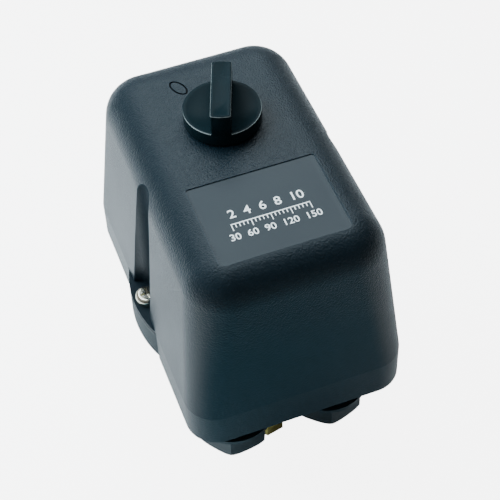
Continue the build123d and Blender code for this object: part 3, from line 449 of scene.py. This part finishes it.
def metal(name, colour, roughness, streak=(1, 1, 1), dark=0.75):
    """Plated or bare metal with drawn streaks along an axis, stains and bright edges."""
    material, tree, shader = shader_material(name, roughness, colour, metallic=1.0)
    place = add_node(tree, "ShaderNodeTexCoord")
    stretch = add_node(tree, "ShaderNodeMapping")
    stretch.inputs["Scale"].default_value = streak
    linked(tree, place.outputs["Object"], stretch.inputs["Vector"])
    lines = add_node(tree, "ShaderNodeTexNoise", Scale=1500.0, Detail=4.0, Roughness=0.6)
    linked(tree, stretch.outputs["Vector"], lines.inputs["Vector"])
    mottle = use_group(tree, "mottle", Patch=0.004)
    wear = use_group(tree, "wear", Reach=0.0003, Amount=0.8)
    tint = colour_between(tree, mottle.outputs["Mask"], scaled(colour, dark), scaled(colour, 1.12))
    bright = mixed(tree, wear.outputs["Mask"], tint, scaled(colour, 1.3))
    linked(tree, bright, shader.inputs["Base Color"])
    linked(tree, value_between(tree, lines.outputs["Fac"], roughness * 0.7, roughness * 1.35),
           shader.inputs["Roughness"])
    bumped(tree, shader, lines.outputs["Fac"], 0.00001, 0.35)
    return material


BARE_METAL = (0.32, 0.33, 0.34)


def coated_casting(name, colour, roughness=0.45):
    """Die casting under a dark coat: orange-peel skin, bare metal on the edges."""
    material, tree, shader = shader_material(name, roughness, colour, IOR=1.25)
    grain = use_group(tree, "grain", Pebble=0.0014, Haze=1.0)
    mottle = use_group(tree, "mottle", Patch=0.008)
    wear = use_group(tree, "wear", Reach=0.0004, Amount=0.8)
    tint = colour_between(tree, mottle.outputs["Mask"], scaled(colour, 0.8), scaled(colour, 1.2))
    bare = mixed(tree, wear.outputs["Mask"], tint, BARE_METAL)
    linked(tree, bare, shader.inputs["Base Color"])
    linked(tree, wear.outputs["Mask"], shader.inputs["Metallic"])
    bumped(tree, shader, grain.outputs["Height"], 0.00004, 0.5)
    return material


def moulded_rubber(name, colour):
    """Dull black rubber with a fine bloom."""
    material, tree, shader = shader_material(name, 0.75, colour, IOR=1.5)
    mottle = use_group(tree, "mottle", Patch=0.002)
    linked(tree, colour_between(tree, mottle.outputs["Mask"], scaled(colour, 0.7), scaled(colour, 1.6)),
           shader.inputs["Base Color"])
    grain = use_group(tree, "grain", Pebble=0.0003, Haze=1.0)
    bumped(tree, shader, grain.outputs["Height"], 0.00002, 0.5)
    return material


# ---- mesh helpers -------------------------------------------------------------------
def piece_from(name, points, faces, material, smooth=30.0):
    """Object at the origin from an array of points and a list of faces, creased above an angle."""
    mesh = bpy.data.meshes.new(name)
    mesh.from_pydata(points.reshape(-1, 3).tolist(), [], faces)
    mesh.polygons.foreach_set("use_smooth", np.ones(len(mesh.polygons), dtype=bool))
    mesh.set_sharp_from_angle(angle=math.radians(smooth))
    mesh.materials.append(material)
    piece = bpy.data.objects.new(name, mesh)
    bpy.context.scene.collection.objects.link(piece)
    return piece


def loops_faces(rows, columns, start=0):
    """Faces of a stack of closed loops: quads between neighbours, one cap at each end."""
    row, column = np.meshgrid(np.arange(rows - 1), np.arange(columns), indexing="ij")
    after = (column + 1) % columns
    quads = np.stack([row * columns + column, row * columns + after,
                      (row + 1) * columns + after, (row + 1) * columns + column], axis=-1) + start
    caps = [list(range(start + columns - 1, start - 1, -1)),
            list(range(start + (rows - 1) * columns, start + rows * columns))]
    return quads.reshape(-1, 4).tolist() + caps


def turned(profile, centre, columns=96):
    """Surface of revolution about an upright axis: every (radius, height) goes once round the centre."""
    profile = np.asarray(profile, dtype=float)
    angle = np.linspace(0, 2 * np.pi, columns, endpoint=False)
    radius, height = profile[:, :1], profile[:, 1:]
    return np.stack([centre[0] + radius * np.cos(angle), centre[1] + radius * np.sin(angle),
                     height + 0 * angle], axis=-1)


def stacked(parts):
    """Several stacks of loops as one set of points and faces."""
    points, faces, start = [], [], 0
    for part in parts:
        rows, columns = part.shape[:2]
        faces += loops_faces(rows, columns, start)
        points.append(part.reshape(-1, 3))
        start += rows * columns
    return np.concatenate(points), faces


def bar_loop(radius, half_width, inset, columns=240):
    """Outline of a bar that ends flush with a disc: in polar form the smaller of the disc's radius and
    the strip's half width over the sine, softened at the corner by a high power mean."""
    angle = np.linspace(0, 2 * np.pi, columns, endpoint=False)
    reach = (half_width - inset) / np.maximum(np.abs(np.sin(angle)), 1e-6)
    power = 70.0
    scale = radius - inset
    distance = scale * (1 + (scale / reach) ** power) ** (-1 / power)
    return np.stack([distance * np.cos(angle), distance * np.sin(angle)], axis=-1)


def quarter(count):
    """Angles over a quarter turn."""
    return np.linspace(0, np.pi / 2, count)


def coil_surface(low, high, wire, turns=4):
    """Compression spring with ground ends in a box: a round wire swept along a helix, with every height
    clipped to the two ground ends."""
    rows, columns = 40 * turns + 1, 14
    centre = (low + high) / 2
    turn = np.linspace(0, 2 * np.pi * turns, rows)[:, None]
    round_wire = np.linspace(2 * np.pi, 0, columns, endpoint=False)[None, :]
    middle = (high.x - low.x - wire) / 2
    rise = (high.z - low.z) / (2 * np.pi * turns)
    lean = math.atan2(rise, middle)
    reach = middle + wire / 2 * np.cos(round_wire)
    back = -wire / 2 * math.sin(lean) * np.sin(round_wire)
    height = low.z + rise * turn + wire / 2 * math.cos(lean) * np.sin(round_wire)
    points = np.stack([centre.x + reach * np.cos(turn) - back * np.sin(turn),
                       centre.y + reach * np.sin(turn) + back * np.cos(turn),
                       np.clip(height, low.z, high.z)], axis=-1)
    return points, loops_faces(rows, columns)


def coil_piece(name, host, wire, material):
    """Coil in place of a spring's solid, filling the solid's box."""
    low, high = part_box(host)
    spring = piece_from(name, *coil_surface(low, high, wire), material, 50.0)
    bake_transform(spring)
    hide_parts(host)


def thread_ring(centre, radius, low, high, pitch, depth, inward=False, columns=48):
    """Screw thread as a closed ring: the radius grows by a triangular wave of height over pitch less the
    turn angle, faded out over half a pitch at both ends, and a plain wall closes the back."""
    rows = int((high - low) / pitch * 8) + 1
    height = np.linspace(low, high, rows)[:, None]
    angle = np.linspace(0, 2 * np.pi, columns, endpoint=False)[None, :]
    wave = (height - low) / pitch - angle / (2 * np.pi)
    ridge = 1 - np.abs(2 * (wave - np.floor(wave)) - 1)
    fade = np.clip((height - low) / (pitch / 2), 0, 1) * np.clip((high - height) / (pitch / 2), 0, 1)
    side = -1 if inward else 1
    root, back = 0.04 * MM, 0.4 * MM          # how far the thread's root and its back lie inside the wall
    reach = radius + side * (depth * ridge * fade - root)
    wall = radius - side * back
    reach = np.concatenate([reach, np.full((2, columns), wall)])
    height = np.concatenate([height, [[high], [low]]])
    if inward:
        reach, height = reach[::-1], height[::-1]
    points = np.stack([centre[0] + reach * np.cos(angle), centre[1] + reach * np.sin(angle),
                       height + 0 * angle], axis=-1)
    count = rows + 2
    row, column = np.meshgrid(np.arange(count), np.arange(columns), indexing="ij")
    beyond, after = (row + 1) % count, (column + 1) % columns
    faces = np.stack([row * columns + column, row * columns + after,
                      beyond * columns + after, beyond * columns + column], axis=-1)
    return points, faces.reshape(-1, 4).tolist()


def dress(material, *names):
    """Give CAD nodes a finish."""
    for name in names:
        mesh = NODES[name].data
        mesh.materials.clear()
        mesh.materials.append(material)


# ---- operators ----------------------------------------------------------------------
class SWITCH_OT_cover(Operator):
    """Finish the moulded cover"""

    bl_idname = "switch.cover"
    bl_label = "Cover"

    def execute(self, context):
        dress(cover_plastic(), "cover", "cover_posts")
        return {"FINISHED"}


def knob_points():
    """Turned disc with a dished top, a grip bar flush with its rim, and the hub under them."""
    hub_end, high = (corner.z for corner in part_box("knob"))
    edge, dish, lip = 0.22 * MM, 1.7 * MM, 0.8 * MM
    turn = quarter(5)
    wall = [(DISC_R - 0.5 * MM, DISC_LOW), (DISC_R - 0.15 * MM, DISC_LOW + 0.15 * MM),
            (DISC_R - 0.05 * MM, DISC_LOW + 0.6 * MM)]
    rim = [(DISC_R - edge + edge * math.cos(t), RIM_Z - edge + edge * math.sin(t)) for t in turn]
    inside = DISC_R - lip
    share = np.linspace(1, 0.02, 24)
    hollow = [(inside * u, RIM_Z - 0.05 * MM - dish * (1 - u * u)) for u in share]
    disc = turned(wall + rim + hollow, KNOB_CENTRE, 128)
    bevel = 0.38 * MM
    levels = [(0.5 * MM, DISC_LOW + 0.4 * MM), (0.3 * MM, RIM_Z - 2.0 * MM), (0.0, RIM_Z - 0.5 * MM)]
    levels += [(bevel * (1 - math.cos(t)), high - bevel + bevel * math.sin(t)) for t in turn]
    levels += [(bevel + 0.35 * MM, high), (bevel + 0.5 * MM, high - 0.08 * MM)]
    cos_a, sin_a = math.cos(KNOB_TURN), math.sin(KNOB_TURN)
    loops = []
    for inset, height in levels:
        flat = bar_loop(DISC_R + 0.01 * MM, BAR_HALF, inset)
        loops.append(np.stack([KNOB_CENTRE[0] + flat[:, 0] * cos_a - flat[:, 1] * sin_a,
                               KNOB_CENTRE[1] + flat[:, 0] * sin_a + flat[:, 1] * cos_a,
                               np.full(len(flat), height)], axis=-1))
    hub = turned([(5.6 * MM, hub_end), (6.0 * MM, hub_end + 0.4 * MM), (6.0 * MM, DISC_LOW + 0.2 * MM)],
                 KNOB_CENTRE, 64)
    return stacked([disc, np.stack(loops), hub])


def knob_painted_highlight_mask(tree):
    """Painted highlight: thin light lines where the gloss would catch, on the bevel round the bar's top and
    the front of the disc's rim.
    """
    x, y, z = object_place(tree)
    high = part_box("knob")[1].z
    bar = math_node(tree, "MULTIPLY", step_between(tree, z, high - 0.36 * MM, high - 0.28 * MM),
                    step_between(tree, z, high - 0.11 * MM, high - 0.16 * MM))
    away = math_node(tree, "SUBTRACT", y, KNOB_CENTRE[1])
    radius = math_node(tree, "SQRT", math_node(tree, "ADD", math_node(tree, "POWER", x, 2.0),
                                               math_node(tree, "POWER", away, 2.0)))
    outer = step_between(tree, radius, DISC_R - 0.24 * MM, DISC_R - 0.16 * MM)
    above = step_between(tree, z, RIM_Z - 0.2 * MM, RIM_Z - 0.14 * MM)
    under = math_node(tree, "LESS_THAN", z, RIM_Z + 0.05 * MM)
    front = step_between(tree, away, 5.0 * MM, -5.0 * MM)
    side = math_node(tree, "SUBTRACT", math_node(tree, "MULTIPLY", away, math.cos(KNOB_TURN)),
                     math_node(tree, "MULTIPLY", x, math.sin(KNOB_TURN)))
    clear = math_node(tree, "GREATER_THAN", math_node(tree, "ABSOLUTE", side), BAR_HALF)
    ring = math_node(tree, "MULTIPLY", math_node(tree, "MULTIPLY", outer, above),
                     math_node(tree, "MULTIPLY", under, math_node(tree, "MULTIPLY", front, clear)))
    return math_node(tree, "MAXIMUM", bar, ring)


def knob_plastic():
    """Glossy black moulding with a painted highlight as thin light lines on its edges."""
    colour = tuple(finish_settings().knob_colour)
    material, tree, shader = shader_material("knob_gloss", 0.24, colour, IOR=1.11)
    mottle = use_group(tree, "mottle", Patch=0.005)
    tint = colour_between(tree, mottle.outputs["Mask"], scaled(colour, 0.8), scaled(colour, 1.25))
    # painted highlight: the edge lines get a light grey base colour
    linked(tree, mixed(tree, knob_painted_highlight_mask(tree), tint, (0.20, 0.23, 0.23)), shader.inputs["Base Color"])
    linked(tree, value_between(tree, mottle.outputs["Mask"], 0.18, 0.32), shader.inputs["Roughness"])
    grain = use_group(tree, "grain", Pebble=0.0004, Haze=0.8)
    bumped(tree, shader, grain.outputs["Height"], 0.00001, 0.3)
    return material


class SWITCH_OT_knob(Operator):
    """Make the grip knob, and finish its cam and screw"""

    bl_idname = "switch.knob"
    bl_label = "Knob"

    def execute(self, context):
        points, faces = knob_points()
        knob = piece_from("grip_knob", points, faces, knob_plastic(), 40.0)
        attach(knob, "knob")
        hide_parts("knob")
        dress(plain_plastic("cam_nylon", (0.55, 0.53, 0.45), 0.4), "knob_cam")
        dress(metal("cam_screw_zinc", (0.62, 0.62, 0.58), 0.3), "knob_screw")
        return {"FINISHED"}


PRINT_T = 0.03 * MM
PRINT_MIDDLE = 0.01 * MM + PRINT_T / 2     # from the surface under the print
ROWS = (("2  4  6  8  10", -22.1 * MM, 4.3 * MM), ("30  60  90  120  150", -30.3 * MM, 3.3 * MM))
TICKS_Y = -26.6 * MM
TICKS_HALF = 11.6 * MM
TICK_COUNT = 21
TICK_HALF_WIDTH = 0.14 * MM
POLE_X = (-18.0 * MM, -6.0 * MM, 6.0 * MM, 18.0 * MM)
POLE_NUMBER_Z = 45.0 * MM
POLE_NUMBER_SIZE = 4.6 * MM


def numerals(name, text, size, ink, place):
    """Printed plain numbers: a text curve made a thin closed slab, then set by a matrix."""
    curve = bpy.data.curves.new(name, "FONT")
    curve.body = text
    curve.size = size
    curve.align_x, curve.align_y = "CENTER", "CENTER"
    curve.offset = 0.012 * size
    curve.extrude = PRINT_T / 2
    curve.resolution_u = 6
    holder = bpy.data.objects.new(name + "_curve", curve)
    bpy.context.scene.collection.objects.link(holder)
    bpy.context.view_layer.update()
    mesh = bpy.data.meshes.new_from_object(holder.evaluated_get(bpy.context.evaluated_depsgraph_get()))
    bpy.data.objects.remove(holder)
    mesh.transform(place)
    mesh.materials.clear()
    mesh.materials.append(ink)
    piece = bpy.data.objects.new(name, mesh)
    bpy.context.scene.collection.objects.link(piece)
    return piece


def tick_points():
    """Scale line with ticks under it: every slab is a box, centre plus or minus half its size."""
    places = np.linspace(-TICKS_HALF, TICKS_HALF, TICK_COUNT)
    long = np.arange(TICK_COUNT) % 5 == 0
    one = np.ones(TICK_COUNT)
    half = np.stack([TICK_HALF_WIDTH * one, np.where(long, 1.15 * MM, 0.65 * MM), PRINT_T / 2 * one], 1)
    centre = np.stack([places, TICKS_Y + 0.9 * MM - half[:, 1], (FIELD_Z + PRINT_MIDDLE) * one], 1)
    half = np.concatenate([half, [[TICKS_HALF + TICK_HALF_WIDTH, 0.16 * MM, PRINT_T / 2]]])
    centre = np.concatenate([centre, [[0.0, TICKS_Y + 1.0 * MM, FIELD_Z + PRINT_MIDDLE]]])
    corner = np.array([[-1, -1, -1], [1, -1, -1], [1, 1, -1], [-1, 1, -1],
                       [-1, -1, 1], [1, -1, 1], [1, 1, 1], [-1, 1, 1]])
    points = centre[:, None, :] + half[:, None, :] * corner[None, :, :]
    box = np.array([[3, 2, 1, 0], [4, 5, 6, 7], [0, 1, 5, 4], [1, 2, 6, 5], [2, 3, 7, 6], [3, 0, 4, 7]])
    faces = (box[None] + 8 * np.arange(len(centre))[:, None, None]).reshape(-1, 4).tolist()
    return points, faces


def pad_ink():
    """White pad-printing ink, a little thin and worn in places."""
    colour = tuple(finish_settings().ink_colour)
    material, tree, shader = shader_material("pad_ink", 0.5, colour)
    mottle = use_group(tree, "mottle", Patch=0.0006)
    linked(tree, colour_between(tree, mottle.outputs["Mask"], scaled(colour, 0.86), scaled(colour, 1.05)),
           shader.inputs["Base Color"])
    linked(tree, value_between(tree, mottle.outputs["Mask"], 0.42, 0.62), shader.inputs["Roughness"])
    return material


class SWITCH_OT_print(Operator):
    """Print a plain scale on the smooth field and numbers beside the terminals"""

    bl_idname = "switch.print"
    bl_label = "Printed numbers"

    def execute(self, context):
        ink = pad_ink()
        for index, (text, across, size) in enumerate(ROWS):
            place = Matrix.Translation((0.0, across, FIELD_Z + PRINT_MIDDLE))
            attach(numerals(f"scale_numbers_{index + 1}", text, size, ink, place), "cover")
        ticks = piece_from("scale_ticks", *tick_points(), ink)
        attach(ticks, "cover")
        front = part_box("contact_block")[0].y - PRINT_MIDDLE
        upright = Matrix.Rotation(math.radians(90), 4, "X")
        for index, across in enumerate(POLE_X):
            place = Matrix.Translation((across, front, POLE_NUMBER_Z)) @ upright
            number = numerals(f"terminal_number_{index + 1}", str(index + 1), POLE_NUMBER_SIZE, ink, place)
            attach(number, "base")
        return {"FINISHED"}


class SWITCH_OT_base(Operator):
    """Finish the base plate, flange, diaphragm and screws"""

    bl_idname = "switch.base"
    bl_label = "Base and flange"

    def execute(self, context):
        coat = coated_casting("flange_coat", tuple(finish_settings().flange_colour))
        dress(coat, "pressure_flange", "port_boss")
        dress(coated_casting("plate_black", (0.005, 0.010, 0.014), 0.6), "base_plate")
        dress(moulded_rubber("diaphragm_rubber", (0.015, 0.014, 0.014)), "diaphragm")
        dress(metal("bright_zinc", (0.92, 0.87, 0.72), 0.18), "flange_screws", "cover_screws", "strap_screws",
              "earth_screw")
        return {"FINISHED"}


class SWITCH_OT_glands(Operator):
    """Finish the cable glands"""

    bl_idname = "switch.glands"
    bl_label = "Cable glands"

    def execute(self, context):
        nylon = plain_plastic("gland_nylon", tuple(finish_settings().gland_colour), 0.36, grain_size=0.0006)
        rubber = moulded_rubber("seal_rubber", (0.02, 0.02, 0.021))
        for side in ("left", "right"):
            dress(nylon, f"gland_nut_{side}", f"gland_body_{side}", f"gland_locknut_{side}")
            dress(rubber, f"gland_seal_{side}")
        return {"FINISHED"}


class SWITCH_OT_valve(Operator):
    """Finish the unloader valve"""

    bl_idname = "switch.valve"
    bl_label = "Unloader valve"

    def execute(self, context):
        dress(metal("turned_brass", (0.52, 0.44, 0.12), 0.3, streak=(1, 1, 8)), "valve_body", "tube_nut",
              "valve_locknut")
        pin_steel = metal("pin_steel", (0.55, 0.55, 0.55), 0.25, streak=(8, 8, 1))
        dress(pin_steel, "valve_pin")
        coil_piece("pin_coil", "valve_spring", 0.5 * MM, pin_steel)
        return {"FINISHED"}


class SWITCH_OT_mechanism(Operator):
    """Finish the lever, frame, springs and studs"""

    bl_idname = "switch.mechanism"
    bl_label = "Mechanism"

    def execute(self, context):
        dress(metal("sheet_zinc", (0.66, 0.66, 0.60), 0.33, streak=(6, 1, 6)), "frame", "main_lever", "strap",
              "spring_foot", "range_seat")
        dress(metal("bolt_zinc", (0.70, 0.68, 0.58), 0.28), "range_stud", "range_nut", "differential_stud",
              "differential_nut", "pivot_pin", "off_rivet")
        wire_steel = metal("spring_wire", (0.30, 0.30, 0.32), 0.3, streak=(1, 1, 5))
        dress(wire_steel, "differential_spring")
        coil_piece("main_coil", "range_spring", 2.2 * MM, wire_steel)
        dress(plain_plastic("slide_nylon", (0.60, 0.57, 0.47), 0.42), "plunger", "off_lever")
        return {"FINISHED"}


class SWITCH_OT_contacts(Operator):
    """Finish the contact block and what it holds"""

    bl_idname = "switch.contacts"
    bl_label = "Contacts"

    def execute(self, context):
        dress(plain_plastic("thermoset_brown", (0.09, 0.045, 0.022), 0.45), "contact_block")
        dress(plain_plastic("carrier_nylon", (0.58, 0.55, 0.46), 0.4), "contact_carrier")
        dress(metal("strip_brass", (0.72, 0.50, 0.22), 0.3), "terminals", "contact_bridges", "earth_washer")
        dress(metal("terminal_zinc", (0.70, 0.69, 0.60), 0.27), "terminal_screws")
        dress(metal("fine_wire", (0.5, 0.5, 0.52), 0.25), "contact_springs")
        return {"FINISHED"}


# In millimetres: name, node, axis (x, y), wall radius, low end, high end, pitch, depth, inside a bore
RANGE_AXIS, DIFFERENTIAL_AXIS = (0.0, 24.0), (0.0, 39.0)
LEFT_AXIS, RIGHT_AXIS, PORT_AXIS = (-18.0, -36.5), (12.85, -36.6), (0.0, 0.0)
THREADS = (
    ("range_thread", "range_stud", RANGE_AXIS, 3.0, 35.3, 65.2, 1.0, 0.16, False),
    ("range_thread_end", "range_stud", RANGE_AXIS, 3.0, 73.4, 74.2, 0.4, 0.10, False),
    ("differential_thread", "differential_stud", DIFFERENTIAL_AXIS, 2.0, 34.5, 51.7, 0.7, 0.14, False),
    ("differential_thread_end", "differential_stud", DIFFERENTIAL_AXIS, 2.0, 68.4, 70.1, 0.7, 0.14, False),
    ("gland_thread_left", "gland_body_left", LEFT_AXIS, 8.0, 34.15, 36.15, 1.0, 0.24, False),
    ("gland_thread_right", "gland_body_right", RIGHT_AXIS, 8.0, 34.15, 36.15, 1.0, 0.24, False),
    ("port_thread", "port_boss", PORT_AXIS, 5.72, 0.5, 11.2, 1.41, 0.55, True),
)


class SWITCH_OT_threads(Operator):
    """Cut the screw threads of the studs, glands and pressure port"""

    bl_idname = "switch.threads"
    bl_label = "Threads"

    def execute(self, context):
        for name, host, centre, radius, low, high, pitch, depth, inward in THREADS:
            points, faces = thread_ring((centre[0] * MM, centre[1] * MM), radius * MM, low * MM, high * MM,
                                        pitch * MM, depth * MM, inward)
            thread = piece_from(name, points, faces, NODES[host].data.materials[0], 50.0)
            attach(thread, "base")
        return {"FINISHED"}


# ---- stage ----------------------------------------------------------------------------
FLOOR_REACH = 4.0
FLOOR_WHITE = (0.84, 0.84, 0.84)
PATCH_EDGE = (0.75, 1.2)            # the dark patch fades out between these shares of its reach
CAMERA_SHARE = 0.6                  # share of the added white in what the camera sees of the floor
AIM = (0.0, 0.0, 0.05)
REAR_PLACE, REAR_SIZE = (0.13, 0.47, 0.82), (0.75, 0.70)
WASH_PLACE, WASH_SIZE = (-0.24, 0.16, 0.30), (0.3, 0.3)
FILL_PLACE, FILL_SIZE = (0.0, -0.9, 0.22), (0.8, 0.4)
ROOM_BRIGHT_SIDE = (-0.35, 0.75, 0.55)
ROOM_SEEN = 2.5
ROOM_TINT = (0.95, 0.98, 1.0)


def area_light(name, place, aim, size, energy, colour=(1, 1, 1), mirrored=True):
    """Soft light at place, aimed at a point; it may be kept out of the reflections."""
    lamp = bpy.data.lights.new(name, "AREA")
    lamp.shape = "RECTANGLE"
    lamp.size, lamp.size_y = size
    lamp.energy = energy
    lamp.color = colour
    holder = bpy.data.objects.new(name, lamp)
    holder.location = place
    holder.rotation_euler = (Vector(aim) - Vector(place)).to_track_quat("-Z", "Y").to_euler()
    holder.visible_glossy = mirrored
    bpy.context.scene.collection.objects.link(holder)
    return holder


def pale_floor_material():
    """Matt floor that the camera sees as plain white; for light and reflections it has a dark tinted oval
    patch in front of the switch, painted shade that stands in for the shaded floor there."""
    stage = stage_settings()
    material, tree, shader = shader_material("pale_floor", 0.9, FLOOR_WHITE)
    path = add_node(tree, "ShaderNodeLightPath")
    place = add_node(tree, "ShaderNodeNewGeometry")
    card = add_node(tree, "ShaderNodeMapping", vector_type="TEXTURE")
    linked(tree, place.outputs["Position"], card.inputs["Vector"])
    card.inputs["Location"].default_value = (*stage.card_place, 0.0)
    card.inputs["Scale"].default_value = (*stage.card_reach, 1000.0)    # height counts for nothing
    reach = add_node(tree, "ShaderNodeVectorMath", operation="LENGTH")
    linked(tree, card.outputs["Vector"], reach.inputs[0])
    lit = add_node(tree, "ShaderNodeMapRange", interpolation_type="SMOOTHSTEP")
    linked(tree, reach.outputs["Value"], lit.inputs["Value"])
    lit.inputs["From Min"].default_value, lit.inputs["From Max"].default_value = PATCH_EDGE
    seen = math_node(tree, "MAXIMUM", lit.outputs["Result"], path.outputs["Is Camera Ray"])
    # painted shade: the patch's dark tint, kept out of what the camera sees
    shade = colour_between(tree, seen, tuple(stage.painted_shade_colour), FLOOR_WHITE)
    linked(tree, shade, shader.inputs["Base Color"])
    glow = add_node(tree, "ShaderNodeEmission", Strength=stage.floor_lift)
    mix = add_node(tree, "ShaderNodeMixShader")
    linked(tree, math_node(tree, "MULTIPLY", path.outputs["Is Camera Ray"], CAMERA_SHARE), mix.inputs[0])
    linked(tree, shader.outputs["BSDF"], mix.inputs[1])
    linked(tree, glow.outputs["Emission"], mix.inputs[2])
    linked(tree, mix.outputs["Shader"], tree.nodes["Material Output"].inputs["Surface"])
    return material


def studio_world():
    """Dim room, a little lighter overhead and behind; the camera sees it as plain white."""
    world = bpy.data.worlds.new("studio")
    world.use_nodes = True
    tree = world.node_tree
    ground = tree.nodes["Background"]
    place = add_node(tree, "ShaderNodeTexCoord")
    toward = add_node(tree, "ShaderNodeVectorMath", operation="DOT_PRODUCT")
    linked(tree, place.outputs["Generated"], toward.inputs[0])
    toward.inputs[1].default_value = Vector(ROOM_BRIGHT_SIDE).normalized()
    glow = add_node(tree, "ShaderNodeMapRange")
    linked(tree, toward.outputs["Value"], glow.inputs["Value"])
    glow.inputs["From Min"].default_value = -0.4
    glow.inputs["To Min"].default_value = stage_settings().room_dim
    glow.inputs["To Max"].default_value = stage_settings().room_glow
    path = add_node(tree, "ShaderNodeLightPath")
    seen = add_node(tree, "ShaderNodeMix")
    linked(tree, path.outputs["Is Camera Ray"], seen.inputs["Factor"])
    linked(tree, glow.outputs["Result"], seen.inputs["A"])
    seen.inputs["B"].default_value = ROOM_SEEN
    linked(tree, seen.outputs["Result"], ground.inputs["Strength"])
    ground.inputs["Color"].default_value = (*ROOM_TINT, 1.0)
    return world


def stage_floor(drop):
    """Large flat floor at a height."""
    corner = FLOOR_REACH * np.array([[-1, -1], [1, -1], [1, 1], [-1, 1]])
    mesh = bpy.data.meshes.new("floor")
    mesh.from_pydata(np.c_[corner, np.full(4, drop)].tolist(), [], [(0, 1, 2, 3)])
    mesh.materials.append(pale_floor_material())
    floor = bpy.data.objects.new("floor", mesh)
    bpy.context.scene.collection.objects.link(floor)
    floor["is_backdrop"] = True


def stage_camera():
    """Camera on its line of sight to the target, rolled about that line."""
    stage = stage_settings()
    back = Vector((math.sin(stage.azimuth) * math.cos(stage.elevation),
                   -math.cos(stage.azimuth) * math.cos(stage.elevation), math.sin(stage.elevation)))
    right = (-back).cross(Vector((0, 0, 1))).normalized()
    up = right.cross(-back)
    rolled_right = math.cos(stage.roll) * right + math.sin(stage.roll) * up
    rolled_up = -math.sin(stage.roll) * right + math.cos(stage.roll) * up
    camera = bpy.data.objects.new("camera", bpy.data.cameras.new("camera"))
    camera.data.lens = stage.lens
    camera.data.sensor_width = 36.0
    camera.data.clip_start = 0.01
    place = Vector(stage.target) + stage.distance * back
    axes = Matrix((rolled_right, rolled_up, back)).transposed()
    camera.matrix_world = Matrix.Translation(place) @ axes.to_4x4()
    bpy.context.scene.collection.objects.link(camera)
    bpy.context.scene.camera = camera


class SWITCH_OT_stage(Operator):
    """Set the floor, lights and camera"""

    bl_idname = "switch.stage"
    bl_label = "Stage"

    def execute(self, context):
        stage = stage_settings()
        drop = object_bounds()[0][2] - stage.floor_drop
        stage_floor(drop)
        area_light("rear_softbox", REAR_PLACE, AIM, REAR_SIZE, stage.rear_power, stage.light_tint)
        area_light("floor_wash", WASH_PLACE, (-0.10, 0.05, drop), WASH_SIZE, stage.wash_power,
                   stage.light_tint, mirrored=False)
        area_light("front_fill", FILL_PLACE, AIM, FILL_SIZE, stage.fill_power, mirrored=False)
        bpy.context.scene.world = studio_world()
        stage_camera()
        return {"FINISHED"}


STEPS = (SWITCH_OT_cover, SWITCH_OT_print, SWITCH_OT_knob, SWITCH_OT_base, SWITCH_OT_glands, SWITCH_OT_valve,
         SWITCH_OT_mechanism, SWITCH_OT_contacts, SWITCH_OT_threads, SWITCH_OT_stage)


class SWITCH_PT_panel(Panel):
    """Lists the settings and steps in the sidebar"""

    bl_label = "Pressure Switch"
    bl_space_type = "VIEW_3D"
    bl_region_type = "UI"
    bl_category = "Switch"

    def draw(self, context):
        layout = self.layout
        for settings in (finish_settings(), stage_settings()):
            box = layout.box()
            for key in settings.__annotations__:
                box.prop(settings, key)
        for step in STEPS:
            layout.operator(step.bl_idname)


CLASSES = (StageSettings, FinishSettings, *STEPS, SWITCH_PT_panel)


def register():
    for cls in CLASSES:
        bpy.utils.register_class(cls)
    bpy.types.Scene.switch_stage = PointerProperty(type=StageSettings)
    bpy.types.Scene.switch_finish = PointerProperty(type=FinishSettings)


def unregister():
    del bpy.types.Scene.switch_stage
    del bpy.types.Scene.switch_finish
    for cls in reversed(CLASSES):
        bpy.utils.unregister_class(cls)


def main():
    """Register the classes and run every step in order."""
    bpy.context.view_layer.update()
    register()
    for step in STEPS:
        group, name = step.bl_idname.split(".")
        getattr(getattr(bpy.ops, group), name)()


if __name__ == "__main__":
    main()
